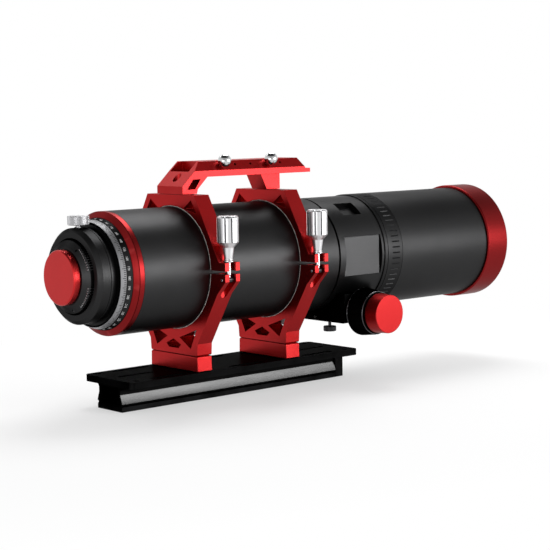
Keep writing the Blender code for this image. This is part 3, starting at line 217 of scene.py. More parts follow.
def felt_look():
    # The liner is painted near-black next to the tube, as painted shade where it meets the tube, and keeps
    # its pale colour at its cut outer edge.
    look = finish_look("felt", (0.86, 0.8, 0.76), 0.0, 0.9, grain=2600.0, bump=0.6, tint=0.16, shine=0.2)
    graph = Graph(look.node_tree)
    shade = look.node_tree.nodes["Principled BSDF"].inputs["Base Color"]
    pale = shade.links[0].from_socket
    out = graph.node("SeparateXYZ", Vector=graph.turning(*ROUND_TUBE)).outputs["Y"]
    shaded_to, pale_from = 64.7 * MM, 64.85 * MM
    # Painted shade: near-black within 64.7 mm of the tube's axis, turning to the felt's pale colour by 64.85
    # mm.
    share = graph.span(out, 0.0, 1.0, shaded_to, pale_from)
    graph.feed(shade, graph.blend(share, (0.03, 0.03, 0.03, 1.0), pale))
    return look


# Black anodised metal has a low base and a low rim, so that it stays dark at a grazing angle.
LOOKS = {
    "red_milled": finish_look("red_milled", RED_MILLED, 1.0, 0.36, grain=1100.0, brush=(0.5, 1.0, 0.25),
                              wear=PALE_RED, coat=0.25, coat_rough=0.26, rim=0.4),
    "red_turned": finish_look("red_turned", RED_TURNED, 1.0, 0.34, lathe=ROUND_TUBE, wear=PALE_RED, coat=0.15,
                              coat_rough=0.3, rim=0.5),
    "red_cap": finish_look("red_cap", RED_CAP, 1.0, 0.36, lathe=ROUND_TUBE, wear=PALE_RED, coat=0.35,
                           coat_rough=0.3, rim=0.6),
    "red_knob": finish_look("red_knob", RED_MILLED, 1.0, 0.38, lathe=ROUND_DRIVE, wear=PALE_RED, coat=0.3,
                            coat_rough=0.3, rim=0.5),
    "black_tube": finish_look("black_tube", (0.034, 0.034, 0.0345), 1.0, 0.42, grain=2200.0, bump=0.08,
                              wear=GREY_WEAR, rim=0.55),
    "black_turned": finish_look("black_turned", (0.03, 0.03, 0.0305), 1.0, 0.38, lathe=ROUND_TUBE,
                                wear=GREY_WEAR, rim=0.4),
    "black_milled": finish_look("black_milled", (0.002, 0.002, 0.002), 1.0, 0.42, grain=1000.0,
                                brush=(0.2, 1.0, 1.0), wear=GREY_WEAR, rim=0.12),
    "black_knob": finish_look("black_knob", (0.004, 0.004, 0.004), 1.0, 0.42, lathe=ROUND_DRIVE,
                              wear=GREY_WEAR, rim=0.12),
    # Pale grey for thin rings on the coarse knobs' rims: painted highlights along their edges.
    "painted_edge_highlight": finish_look("painted_edge_highlight", (0.1, 0.1, 0.105), 1.0, 0.35, lathe=ROUND_DRIVE),
    "inner_black": finish_look("inner_black", (0.008, 0.008, 0.008), 0.0, 0.75, grain=3000.0, bump=0.3,
                               shine=0.2),
    "grey_metal": finish_look("grey_metal", (0.42, 0.42, 0.43), 1.0, 0.42, grain=1200.0, brush=ALONG_Z),
    "silver_knob": finish_look("silver_knob", SILVER, 1.0, 0.34, grain=1200.0, brush=ALONG_Z),
    "silver_face": finish_look("silver_face", (0.05, 0.05, 0.05), 1.0, 0.25, grain=1400.0,
                               brush=(0.06, 1.0, 1.0)),
    "steel": finish_look("steel", (0.6, 0.6, 0.62), 1.0, 0.26, grain=900.0),
    "dark_steel": finish_look("dark_steel", (0.05, 0.05, 0.052), 1.0, 0.35, grain=900.0),
    "chrome": finish_look("chrome", (0.58, 0.585, 0.59), 1.0, 0.07, spread=0.02, tint=0.03, bump=0.01),
    "brass": finish_look("brass", (0.7, 0.5, 0.19), 1.0, 0.3, grain=900.0),
    "scale_grey": finish_look("scale_grey", (0.3, 0.3, 0.31), 0.8, 0.4, lathe=ROUND_TUBE),
    "white_ink": finish_look("white_ink", (0.72, 0.72, 0.72), 0.0, 0.6, grain=2500.0),
    "dark_ink": finish_look("dark_ink", (0.02, 0.02, 0.02), 0.0, 0.6, grain=2500.0, shine=0.3),
    "tile_grey": finish_look("tile_grey", (0.055, 0.055, 0.057), 0.0, 0.45, brush=ALONG_X, shine=0.3),
    "glass": glass_look(),
    "felt": felt_look(),
}


# Mesh helpers

def axis_frame(axis):
    # Columns take (along, first, second) to the world.
    if axis == "X":
        return Matrix(((1, 0, 0), (0, 1, 0), (0, 0, 1)))
    if axis == "Y":
        return Matrix(((0, 0, 1), (1, 0, 0), (0, 1, 0)))
    return Matrix(((0, 1, 0), (0, 0, 1), (1, 0, 0)))


def mesh_of(bm, name):
    bmesh.ops.recalc_face_normals(bm, faces=bm.faces)
    mesh = bpy.data.meshes.new(name)
    bm.to_mesh(mesh)
    bm.free()
    return mesh


def keep(mesh, name, look, body, stands_for=(), scale=MM, sharp=35, round_edge=0.0):
    """Makes a mesh into a piece that rides on a CAD body."""
    mesh.transform(Matrix.Scale(scale, 4))
    mesh.polygons.foreach_set("use_smooth", [True] * len(mesh.polygons))
    mesh.set_sharp_from_angle(angle=math.radians(sharp))
    piece = bpy.data.objects.new(name, mesh)
    bpy.context.scene.collection.objects.link(piece)
    if not mesh.materials:
        mesh.materials.append(LOOKS[look])
    if round_edge:
        edge = piece.modifiers.new("edge", "BEVEL")
        edge.width = round_edge * MM
        edge.segments = 2
        edge.limit_method = "ANGLE"
        edge.angle_limit = math.radians(28)
        edge.harden_normals = True
    even = piece.modifiers.new("even", "WEIGHTED_NORMAL")
    even.keep_sharp = True
    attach(piece, body)
    if stands_for:
        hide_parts(*([stands_for] if isinstance(stands_for, str) else stands_for))
    return piece


def softened(profile, radius):
    """Rounds each sharp corner of a profile of (along, radius, share) points with three points."""
    points = [tuple(p) + (0.0,) * (3 - len(p)) for p in profile]
    open_ends = points[0][1] == 0
    made = []
    for place, point in enumerate(points):
        if open_ends and place in (0, len(points) - 1):
            made.append(point)
            continue
        here = Vector(point[:2])
        before = Vector(points[place - 1][:2]) - here
        after = Vector(points[(place + 1) % len(points)][:2]) - here
        if radius == 0 or before.angle(after, math.pi) > math.radians(165):
            made.append(point)
            continue
        reach = min(radius, before.length * 0.4, after.length * 0.4)
        start = here + before.normalized() * reach
        end = here + after.normalized() * reach
        for spot in (start, start * 0.25 + here * 0.5 + end * 0.25, end):
            made.append((spot.x, spot.y, point[2]))
    return made


def turned_mesh(profile, axis="X", centre=TUBE_LINE, steps=144, soft=0.4, groove=None):
    """Turns a profile round an axis. Groove gives how far in a point with share 1 goes at an angle."""
    bm = bmesh.new()
    turn = axis_frame(axis)
    rings = []
    for along, radius, share in softened(profile, soft):
        if radius == 0:
            rings.append([bm.verts.new(turn @ Vector((along, 0, 0)) + Vector(centre))])
            continue
        ring = []
        for step in range(steps):
            angle = 2 * math.pi * step / steps
            far = radius - (share * groove(angle) if groove else 0.0)
            spot = Vector((along, far * math.cos(angle), far * math.sin(angle)))
            ring.append(bm.verts.new(turn @ spot + Vector(centre)))
        rings.append(ring)
    pairs = list(zip(rings, rings[1:]))
    if all(len(ring) > 1 for ring in rings):
        pairs.append((rings[-1], rings[0]))
    for first, second in pairs:
        for step in range(steps):
            after = (step + 1) % steps
            if len(first) == 1:
                bm.faces.new((first[0], second[step], second[after]))
            elif len(second) == 1:
                bm.faces.new((first[step], second[0], first[after]))
            else:
                bm.faces.new((first[step], second[step], second[after], first[after]))
    return mesh_of(bm, "turned")


def turned(name, profile, look, body, stands_for=(), slot=None, axis="X", centre=TUBE_LINE, **shape):
    return keep(turned_mesh(profile, axis, centre, **shape), name, look, body, stands_for)


def rod_mesh(low, high, radius, axis, centre, steps):
    return turned_mesh([(low, 0.0), (low, radius), (high, radius), (high, 0.0)], axis, centre, steps, 0.0)


# Grips: the number of lands, the depth of a groove and its share of the pitch
THUMBSCREW_GRIP = (72, 0.25, 0.5)
COARSE_GRIP = (20, 0.7, 0.3)
LOCK_SCREW_GRIP = (40, 0.25, 0.5)
DEW_LOCK_GRIP = (64, 0.6, 0.17)
CLAMP_GRIP = (10, 1.7, 0.24)


def lands(count, depth, groove_share):
    """Grip lands: narrow grooves of one depth between wider lands."""
    flank = groove_share * 0.45

    def inward(angle):
        place = (angle * count / (2 * math.pi)) % 1.0
        edge = abs(place - 0.5) * 2
        return depth * max(0.0, min(1.0, (groove_share - (1 - edge)) / flank))
    return inward


def prism_mesh(points, low, high, axis="X", centre=(0.0, 0.0, 0.0)):
    bm = bmesh.new()
    turn = axis_frame(axis)
    ends = []
    for along in (low, high):
        ends.append([bm.verts.new(turn @ Vector((along, a, b)) + Vector(centre)) for a, b in points])
    for step in range(len(points)):
        after = (step + 1) % len(points)
        bm.faces.new((ends[0][step], ends[1][step], ends[1][after], ends[0][after]))
    bm.faces.new(ends[0])
    bm.faces.new(ends[1])
    return mesh_of(bm, "prism")


def box_mesh(low, high):
    points = [(low[1], low[2]), (high[1], low[2]), (high[1], high[2]), (low[1], high[2])]
    return prism_mesh(points, low[0], high[0])


def cut(mesh, tools):
    """Takes tool meshes out of a mesh and gives the result."""
    target = bpy.data.objects.new("target", mesh)
    bpy.context.scene.collection.objects.link(target)
    helpers = []
    for tool in tools:
        helper = bpy.data.objects.new("tool", tool)
        bpy.context.scene.collection.objects.link(helper)
        helpers.append(helper)
        step = target.modifiers.new("cut", "BOOLEAN")
        step.operation = "DIFFERENCE"
        step.solver = "EXACT"
        step.object = helper
    graph = bpy.context.evaluated_depsgraph_get()
    made = bpy.data.meshes.new_from_object(target.evaluated_get(graph))
    for item in [target] + helpers:
        bpy.data.objects.remove(item, do_unlink=True)
    return made


def joined(meshes):
    bm = bmesh.new()
    for mesh in meshes:
        bm.from_mesh(mesh)
        bpy.data.meshes.remove(mesh)
    return mesh_of(bm, "joined")


def round_tube(degrees, x=0.0):
    """Takes a mesh made along +Y to an angle round the tube's axis."""
    return Matrix.Translation((x, 0.0, AXIS_H)) @ Matrix.Rotation(math.radians(degrees), 4, "X")


def body_of(node):
    return nodes[node]["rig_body"]


def cad_mesh(node):
    """A copy of a CAD node's mesh with its triangles merged into flat faces, in metres."""
    bm = bmesh.new()
    bm.from_mesh(nodes[node].data)
    bmesh.ops.remove_doubles(bm, verts=bm.verts, dist=1e-6)
    bmesh.ops.dissolve_limit(bm, angle_limit=math.radians(0.6), verts=bm.verts, edges=bm.edges)
    return mesh_of(bm, node)


def dressed(node, look, round_edge=0.5):
    """The CAD node's own form with broken edges and its finish."""
    return keep(cad_mesh(node), node + "_body", look, body_of(node), node, 1.0, 32, round_edge)


def plain_finish(look, slot, *names):
    for name in names:
        node = nodes[name]
        node.data.materials.clear()
        node.data.materials.append(LOOKS[look])


# Tube, rear cell and camera rotator

TUBE_REAR, TUBE_FRONT, TUBE_BORE_R = -154.0, 113.4, 61.0
CELL_REAR, CELL_FRONT, CELL_NOSE = -164.0, -154.3, -142.0
CELL_BORE_R, CELL_FACE_R = 53.0, 58.2
CELL_BEVEL_END = (-160.5, 63.7)
CELL_LINE, CELL_LINE_R, CELL_SKIN_REAR = (-160.4, -159.9), 63.1, -159.8


def tube_wall(low, high, outer, inner, edge=0.0):
    if not edge:
        return [(low, inner), (low, outer), (high, outer), (high, inner)]
    return [(low, inner), (low, outer - edge), (low + edge, outer), (high - edge, outer),
            (high, outer - edge), (high, inner)]


def build_tube():
    tube = [(TUBE_REAR, TUBE_BORE_R), (TUBE_REAR, TUBE_R), (JOINT_REAR, TUBE_R), (JOINT_REAR, JOINT_R),
            (TUBE_FRONT, JOINT_R), (TUBE_FRONT, TUBE_BORE_R)]
    turned("main_tube_skin", tube, "black_tube", "base", "main_tube", "tube_black", steps=STEPS, soft=0.2)
    cell = [(CELL_REAR, CELL_BORE_R), (CELL_REAR, CELL_FACE_R), CELL_BEVEL_END,
            (CELL_LINE[0], CELL_LINE_R), (CELL_LINE[1], CELL_LINE_R), (CELL_SKIN_REAR, TUBE_R),
            (CELL_FRONT, TUBE_R), (CELL_FRONT, SPIGOT_R), (CELL_NOSE, SPIGOT_R), (CELL_NOSE, CELL_BORE_R)]
    turned("rear_cell_skin", cell, "red_turned", "base", "rear_cell", "red_turned", steps=STEPS, soft=0.2)


SCALE_REAR, SCALE_FRONT = -176.1, -164.3
SCALE_LOW_R, SCALE_HIGH_R, SCALE_BORE_R = 53.8, 57.9, 47.4
SCALE_LINE, LINE_W, LINE_DEPTH = -170.4, 0.5, 0.7
BAND_SINK, BAND_DEPTH, BAND_GAP = 0.25, 2.4, 0.2
NUMBER_SINK, NUMBER_PROUD, NUMBER_START, NUMBER_SIZE, NUMBER_STRETCH = 0.15, 0.05, 1.7, 3.0, 1.05
NUMBER_STEP = 10
TICK_STEP, TICK_LONG_EVERY = 2, 5
TICK_LONG, TICK_SHORT, TICK_HALF_W = 3.6, 2.2, 0.34
TICK_GAP, TICK_PROUD, TICK_DEPTH = 0.25, 0.06, 0.3


def scale_radius(x):
    return SCALE_LOW_R + (SCALE_HIGH_R - SCALE_LOW_R) * (x - SCALE_REAR) / (SCALE_FRONT - SCALE_REAR)


def build_scale():
    line_r = scale_radius(SCALE_LINE)
    line_end = SCALE_LINE + LINE_W
    ring = [(SCALE_REAR, SCALE_BORE_R), (SCALE_REAR, SCALE_LOW_R - BAND_SINK),
            (SCALE_LINE, line_r - BAND_SINK), (SCALE_LINE, line_r - LINE_DEPTH),
            (line_end, line_r - LINE_DEPTH), (line_end, line_r - NUMBER_SINK),
            (SCALE_FRONT, SCALE_HIGH_R - NUMBER_SINK), (SCALE_FRONT, SCALE_BORE_R)]
    turned("scale_ring_body", ring, "black_turned", "base", "rotator_scale_ring", "scale_grey",
           steps=STEPS, soft=0.15)
    band_end = SCALE_LINE - BAND_GAP
    band = [(SCALE_REAR, SCALE_LOW_R - BAND_DEPTH), (SCALE_REAR, SCALE_LOW_R), (band_end, line_r),
            (band_end, line_r - BAND_GAP)]
    turned("scale_band", band, "scale_grey", "base", (), "scale_grey", steps=STEPS, soft=0.12)
    build_ticks()
    build_numbers()


def build_ticks():
    marks = []
    end = SCALE_LINE - TICK_GAP
    high = scale_radius(end)
    for step in range(360 // TICK_STEP):
        start = end - (TICK_SHORT if step % TICK_LONG_EVERY else TICK_LONG)
        low = scale_radius(start)
        points = [(low - TICK_DEPTH, start), (low + TICK_PROUD, start), (high + TICK_PROUD, end),
                  (high - TICK_DEPTH, end)]
        tick = prism_mesh(points, -TICK_HALF_W, TICK_HALF_W, "Y")
        tick.transform(round_tube(TICK_STEP * step))
        marks.append(tick)
    keep(joined(marks), "scale_ticks", "dark_ink", "base", ())


def build_numbers():
    meshes = []
    for degrees in range(0, 360, NUMBER_STEP):
        curve = bpy.data.curves.new("number", "FONT")
        curve.body = str(degrees)
        curve.size = NUMBER_SIZE
        curve.align_x = "CENTER"
        curve.resolution_u = 2
        holder = bpy.data.objects.new("number", curve)
        bpy.context.scene.collection.objects.link(holder)
        bpy.context.view_layer.update()
        mesh = bpy.data.meshes.new_from_object(holder.evaluated_get(bpy.context.evaluated_depsgraph_get()))
        bpy.data.objects.remove(holder, do_unlink=True)
        for vertex in mesh.vertices:
            x = SCALE_LINE + NUMBER_START + vertex.co.y * NUMBER_STRETCH
            far = scale_radius(x) - NUMBER_SINK + NUMBER_PROUD
            angle = math.radians(degrees) + vertex.co.x / far
            vertex.co = Vector((x, far * math.cos(angle), far * math.sin(angle) + AXIS_H))
        meshes.append(mesh)
    keep(joined(meshes), "scale_numbers", "white_ink", "base", ())


ROTATOR_REAR, ROTATOR_FRONT, ROTATOR_NOSE, ROTATOR_FLOOR = -198.0, -181.5, -162.0, -184.8
ROTATOR_R, ROTATOR_EDGE, ROTATOR_NECK_R, ROTATOR_BORE_R, ROTATOR_RECESS_R = 49.0, 4.0, 47.1, 33.3, 39.0
ROTATOR_LINE, ROTATOR_LINE_R = (-184.4, -183.8), 48.4
ADAPTER_REAR, ADAPTER_STEP, ADAPTER_FLOOR, ADAPTER_FRONT = -206.2, -200.6, -185.1, -175.1
ADAPTER_BORE_R, ADAPTER_TIP_R, ADAPTER_R, ADAPTER_SPIGOT_R = 24.0, 30.0, 37.2, 33.0
NOTCH_GROUPS, NOTCHES, NOTCH_PITCH = (214.0, 146.0), 10, 4.2
NOTCH_REAR, NOTCH_FRONT, NOTCH_HALF_W = -202.4, -195.4, 0.7
# NOTCH_FLOOR_R places light grey floors in the notches, painted glints between the teeth.
NOTCH_R, NOTCH_FLOOR_R = (35.4, 40.0), (34.6, 35.9)
SET_SCREWS, SET_SCREW_R, SET_SCREW_DEEP = ((-203.6, 123.0), (-202.7, 256.0)), 1.2, (31.5, 40.0)
CAP_REAR, CAP_FRONT, CAP_NOSE = -213.9, -206.5, -198.5
CAP_R, CAP_EDGE, CAP_PLUG_R = 28.0, 1.2, 23.7
SCREW_X = -188.2
SCREW_LOW, SCREW_HEAD, SCREW_TOP = AXIS_H + 41.2, AXIS_H + 51.6, AXIS_H + 61.0
SCREW_STEM_R, SCREW_R, SCREW_EDGE = 2.4, 11.0, 0.6
STEM_HOLE_R, STEM_HOLE = 2.7, (AXIS_H + 36.0, AXIS_H + 54.0)


def build_rotator():
    line_rear, line_front = ROTATOR_LINE
    body = [(ROTATOR_REAR, ROTATOR_RECESS_R), (ROTATOR_REAR, ROTATOR_R - ROTATOR_EDGE),
            (ROTATOR_REAR + ROTATOR_EDGE, ROTATOR_R), (line_rear, ROTATOR_R), (line_rear, ROTATOR_LINE_R),
            (line_front, ROTATOR_LINE_R), (line_front, ROTATOR_R), (ROTATOR_FRONT, ROTATOR_R),
            (ROTATOR_FRONT, ROTATOR_NECK_R), (ROTATOR_NOSE, ROTATOR_NECK_R), (ROTATOR_NOSE, ROTATOR_BORE_R),
            (ROTATOR_FLOOR, ROTATOR_BORE_R), (ROTATOR_FLOOR, ROTATOR_RECESS_R)]
    hole = rod_mesh(*STEM_HOLE, STEM_HOLE_R, "Z", (SCREW_X, 0.0, 0.0), 32)
    mesh = cut(turned_mesh(body, soft=0.3), [hole])
    keep(mesh, "rotator_skin", "black_turned", "camera_rotator", "rotator_body")
    build_adapter()
    cap = [(CAP_REAR, 0.0), (CAP_REAR, CAP_R - CAP_EDGE), (CAP_REAR + CAP_EDGE, CAP_R), (CAP_FRONT, CAP_R),
           (CAP_FRONT, CAP_PLUG_R), (CAP_NOSE, CAP_PLUG_R), (CAP_NOSE, 0.0)]
    turned("rear_cap_skin", cap, "red_cap", "end_cap", "rear_cap", "red_turned", soft=0.3)
    screw = [(SCREW_LOW, 0.0), (SCREW_LOW, SCREW_STEM_R), (SCREW_HEAD, SCREW_STEM_R),
             (SCREW_HEAD, SCREW_R - SCREW_EDGE), (SCREW_HEAD + SCREW_EDGE, SCREW_R, 1.0),
             (SCREW_TOP - SCREW_EDGE, SCREW_R, 1.0), (SCREW_TOP, SCREW_R - SCREW_EDGE), (SCREW_TOP, 0.0)]
    turned("rotator_thumbscrew", screw, "grey_metal", "rotator_lock", "rotator_lock_screw", "silver_knob",
           "Z", (SCREW_X, 0.0, 0.0), steps=288, soft=0.25, groove=lands(*THUMBSCREW_GRIP))


def build_adapter():
    adapter = [(ADAPTER_REAR, ADAPTER_BORE_R), (ADAPTER_REAR, ADAPTER_TIP_R), (ADAPTER_STEP, ADAPTER_R),
               (ADAPTER_FLOOR, ADAPTER_R), (ADAPTER_FLOOR, ADAPTER_SPIGOT_R),
               (ADAPTER_FRONT, ADAPTER_SPIGOT_R), (ADAPTER_FRONT, ADAPTER_BORE_R)]
    notches, floors = [], []
    for middle in NOTCH_GROUPS:
        for place in range(NOTCHES):
            turn = round_tube(middle + (place - (NOTCHES - 1) / 2) * NOTCH_PITCH)
            for made, (low, high) in ((notches, NOTCH_R), (floors, NOTCH_FLOOR_R)):
                tooth = box_mesh((NOTCH_REAR, low, -NOTCH_HALF_W), (NOTCH_FRONT, high, NOTCH_HALF_W))
                tooth.transform(turn)
                made.append(tooth)
    for x, degrees in SET_SCREWS:
        hole = rod_mesh(*SET_SCREW_DEEP, SET_SCREW_R, "Y", (0.0, 0.0, 0.0), 20)
        hole.transform(round_tube(degrees, x))
        notches.append(hole)
    mesh = cut(turned_mesh(adapter, soft=0.35), [joined(notches)])
    keep(mesh, "camera_adapter_skin", "black_turned", "camera_rotator", "camera_adapter")
    # Painted glints: light grey floors set in the black adapter's notches.
    keep(joined(floors), "camera_adapter_notch_glints", "grey_metal", "camera_rotator", ())


# Focuser housing, drive and front end

HOUSING_REAR, HOUSING_STEP, HOUSING_FRONT, HOUSING_BORE_R = 105.7, 113.7, 183.1, 56.0
TILE_SEAT_X, TILE_SEAT_Y, TILE_SEAT_HALF = (123.1, 179.6), -58.4, 22.0
POCKET_X, POCKET_HALF_W, POCKET_FLOOR_R, POCKET_TURN = (137.0, 165.0), 10.5, 57.8, 35.6
DRIVE_WELL_X, DRIVE_WELL_HALF_W, DRIVE_WELL_H = (138.0, 160.0), 7.5, (67.0, 89.6)
SHAFT_HOLE_R = 5.6
PAST_SKIN = 70.0


def build_housing():
    shell = [(HOUSING_REAR, HOUSING_BORE_R), (HOUSING_REAR, SPIGOT_R), (HOUSING_STEP, SPIGOT_R),
             (HOUSING_STEP, JOINT_R), (JOINT_FRONT, JOINT_R), (JOINT_FRONT, TUBE_R), (HOUSING_FRONT, TUBE_R),
             (HOUSING_FRONT, HOUSING_BORE_R)]
    seat = box_mesh((TILE_SEAT_X[0], -PAST_SKIN, AXIS_H - TILE_SEAT_HALF),
                    (TILE_SEAT_X[1], TILE_SEAT_Y, AXIS_H + TILE_SEAT_HALF))
    pocket = box_mesh((POCKET_X[0], -POCKET_HALF_W, POCKET_FLOOR_R), (POCKET_X[1], POCKET_HALF_W, PAST_SKIN))
    pocket.transform(round_tube(POCKET_TURN))
    well = box_mesh((DRIVE_WELL_X[0], -DRIVE_WELL_HALF_W, DRIVE_WELL_H[0]),
                    (DRIVE_WELL_X[1], DRIVE_WELL_HALF_W, DRIVE_WELL_H[1]))
    shaft_hole = rod_mesh(-TUBE_R, TUBE_R, SHAFT_HOLE_R, "Y", DRIVE, 48)
    mesh = cut(turned_mesh(shell, steps=STEPS, soft=0.2), [seat, pocket, well, shaft_hole])
    keep(mesh, "focuser_housing_skin", "black_tube", "base", "focuser_housing", sharp=30)
    dressed("cover_tile", "tile_grey", 0.3)
    dressed("focuser_block", "black_milled", 0.8)


COARSE_IN, COARSE_OUT, COARSE_BORE_R, COARSE_R = 64.0, 86.4, 5.3, 27.0
COARSE_EDGE, COARSE_TAPER_END, COARSE_TAPER_R, COARSE_FACE_R = 0.8, 84.6, 24.6, 23.2
# Thin pale rings standing on the coarse knobs' inner and outer rims are painted highlights along these edges.
COARSE_EDGES = (("inner", 64.35, 26.75), ("outer", 85.6, 24.1))
EDGE_LINE = ((-0.5, -0.9), (-0.3, 0.1), (0.3, -0.2), (0.3, -0.9))
FINE_IN, FINE_OUT, FINE_STEM_END, FINE_STEM_R = -86.7, -104.7, -74.7, 3.0
FINE_FACE_R, FINE_EDGE, FINE_EDGE_R = 20.9, 0.4, 21.3
FINE_WIDEST, FINE_R, FINE_BACK_R = -88.7, 22.2, 21.4
LOCK_SPOT, LOCK_LOW, LOCK_HEAD, LOCK_TOP = (134.0, -24.0, 0.0), 54.6, 60.4, 74.0
LOCK_R, LOCK_STEM_R, LOCK_EDGE = 7.3, 1.75, 0.6


def build_drive():
    for word, sign in (("near", -1), ("far", 1)):
        knob = [(sign * COARSE_IN, COARSE_BORE_R), (sign * COARSE_IN, COARSE_R - COARSE_EDGE),
                (sign * (COARSE_IN + COARSE_EDGE), COARSE_R, 1.0),
                (sign * COARSE_TAPER_END, COARSE_TAPER_R, 1.0), (sign * COARSE_OUT, COARSE_FACE_R),
                (sign * COARSE_OUT, COARSE_BORE_R)]
        name = "coarse_knob_" + word
        turned(name + "_grip", knob, "black_knob", "focus_shaft", name, "focuser_black", "Y", DRIVE,
               steps=240, soft=0.3, groove=lands(*COARSE_GRIP))
        # Painted highlights: a thin pale grey ring on each rim of the knob.
        for edge, along, far in COARSE_EDGES:
            line = [(sign * (along + ahead), far + out) for ahead, out in EDGE_LINE]
            turned(name + "_" + edge + "_edge", line, "painted_edge_highlight", "focus_shaft", (), "focuser_black",
                   "Y", DRIVE, soft=0.1)
    fine = [(FINE_OUT, 0.0), (FINE_OUT, FINE_FACE_R), (FINE_OUT + FINE_EDGE, FINE_EDGE_R),
            (FINE_WIDEST, FINE_R), (FINE_IN, FINE_BACK_R), (FINE_IN, FINE_STEM_R),
            (FINE_STEM_END, FINE_STEM_R), (FINE_STEM_END, 0.0)]
    turned("fine_knob_grip", fine, "red_knob", "fine_focus", "fine_knob", "red_turned", "Y", DRIVE, soft=0.3)
    screw = [(LOCK_LOW, 0.0), (LOCK_LOW, LOCK_R - LOCK_EDGE), (LOCK_LOW + LOCK_EDGE, LOCK_R, 1.0),
             (LOCK_HEAD - LOCK_EDGE, LOCK_R, 1.0), (LOCK_HEAD, LOCK_R - LOCK_EDGE), (LOCK_HEAD, LOCK_STEM_R),
             (LOCK_TOP, LOCK_STEM_R), (LOCK_TOP, 0.0)]
    turned("focus_lock_grip", screw, "dark_steel", "focus_lock", "focus_lock_screw", "focuser_black",
           "Z", LOCK_SPOT, steps=160, soft=0.25, groove=lands(*LOCK_SCREW_GRIP))


COLLAR_REAR, COLLAR_FRONT, COLLAR_EDGE = 183.4, 188.2, 0.4
BARREL_FRONT, BARREL_R, BARREL_BORE_R = 300.0, 62.7, 56.1
LOCK_RING_REAR, LOCK_RING_FRONT, LOCK_RING_BORE_R = 188.5, 211.3, 63.0
GRIP_REAR, GRIP_FRONT, GRIP_EDGE = 195.2, 206.4, 0.3
SHIELD_REAR, SHIELD_FRONT = 211.6, 356.6
RIM_REAR, RIM_FRONT, RIM_R = 356.9, 392.2, 68.5
RIM_REAR_EDGE, RIM_FRONT_EDGE = 1.2, 1.6


def build_front():
    barrel = [(COLLAR_REAR, BARREL_BORE_R), (COLLAR_REAR, FRONT_R - COLLAR_EDGE),
              (COLLAR_REAR + COLLAR_EDGE, FRONT_R), (COLLAR_FRONT - COLLAR_EDGE, FRONT_R),
              (COLLAR_FRONT, FRONT_R - COLLAR_EDGE), (COLLAR_FRONT, BARREL_R), (BARREL_FRONT, BARREL_R),
              (BARREL_FRONT, BARREL_BORE_R)]
    turned("objective_barrel_skin", barrel, "black_turned", "base", "objective_barrel", "tube_black",
           steps=STEPS)
    ring = [(LOCK_RING_REAR, LOCK_RING_BORE_R), (LOCK_RING_REAR, FRONT_R), (GRIP_REAR - GRIP_EDGE, FRONT_R),
            (GRIP_REAR, FRONT_R, 1.0), (GRIP_FRONT, FRONT_R, 1.0), (GRIP_FRONT + GRIP_EDGE, FRONT_R),
            (LOCK_RING_FRONT, FRONT_R), (LOCK_RING_FRONT, LOCK_RING_BORE_R)]
    turned("dew_lock_grip", ring, "black_turned", "dew_lock", "dew_lock_ring", "tube_black",
           steps=1024, soft=0.3, groove=lands(*DEW_LOCK_GRIP))
    turned("dew_shield_skin", tube_wall(SHIELD_REAR, SHIELD_FRONT, FRONT_R, SHIELD_BORE_R), "black_tube",
           "dew_shield", "dew_shield_tube", "tube_black", steps=STEPS, soft=0.25)
    rim = [(RIM_REAR, SHIELD_BORE_R), (RIM_REAR, RIM_R - RIM_REAR_EDGE), (RIM_REAR + RIM_REAR_EDGE, RIM_R),
           (RIM_FRONT - RIM_FRONT_EDGE, RIM_R), (RIM_FRONT, RIM_R - RIM_FRONT_EDGE),
           (RIM_FRONT, SHIELD_BORE_R)]
    turned("dew_shield_rim_skin", rim, "red_turned", "dew_shield", "dew_shield_rim", "red_turned",
           steps=STEPS, soft=0.4)


# Rings, clamps, handle and plate

KNOB_LOW, KNOB_TOP, KNOB_BORE_TOP, KNOB_R = 153.1, 198.3, 170.0, 11.2
KNOB_BORE_R, KNOB_FOOT_TOP, KNOB_FOOT_R = 2.8, 154.3, 4.9
KNOB_NECK = ((154.6, 4.4), (166.0, 6.2))
KNOB_SHOULDER = ((166.6, 6.6), (171.2, 10.8))
KNOB_GRIP_LOW, KNOB_GRIP_TOP, KNOB_FACE_R = 171.7, 196.6, 9.8
KNOB_DISH_H, KNOB_DISH_R, KNOB_DISH_FLOOR_R = 196.4, 6.6, 6.2
# Groove floors: a dark cylinder inside each clamp knob, partly oil in the grooves and partly painted shade at
# their bottoms.
GRIP_FLOOR, GRIP_FLOOR_R = (171.9, 196.2), (9.0, 10.2)
WASHER_LOW, WASHER_TOP, WASHER_R, WASHER_EDGE = 151.3, 152.8, 5.4, 0.3
STUD_LOW, STUD_TOP, STUD_R = 131.0, 169.6, 2.5
STUD_POINT_R, STUD_POINT_H, STUD_TIP_R, STUD_TIP_TOP, STUD_FULL_FROM = 1.5, 0.8, 2.05, 137.4, 138.0
NUT_H, NUT_HALF, NUT_R = 133.1, 4.2, 3.1
PIN_HALF, PIN_R = 9.5, 1.6
PIN_END = ((-9.7, 0.0), (-9.7, 1.2), (-9.4, 1.5), (-9.0, 1.5), (-9.0, 0.0))
SLOT_HALF_W, SLOT_FOOT_H, SLOT_TOP, SLOT_WALL_Y = 4.6, 118.1, 128.6, (-72.0, -69.8)
SLOT_STEPS = 12


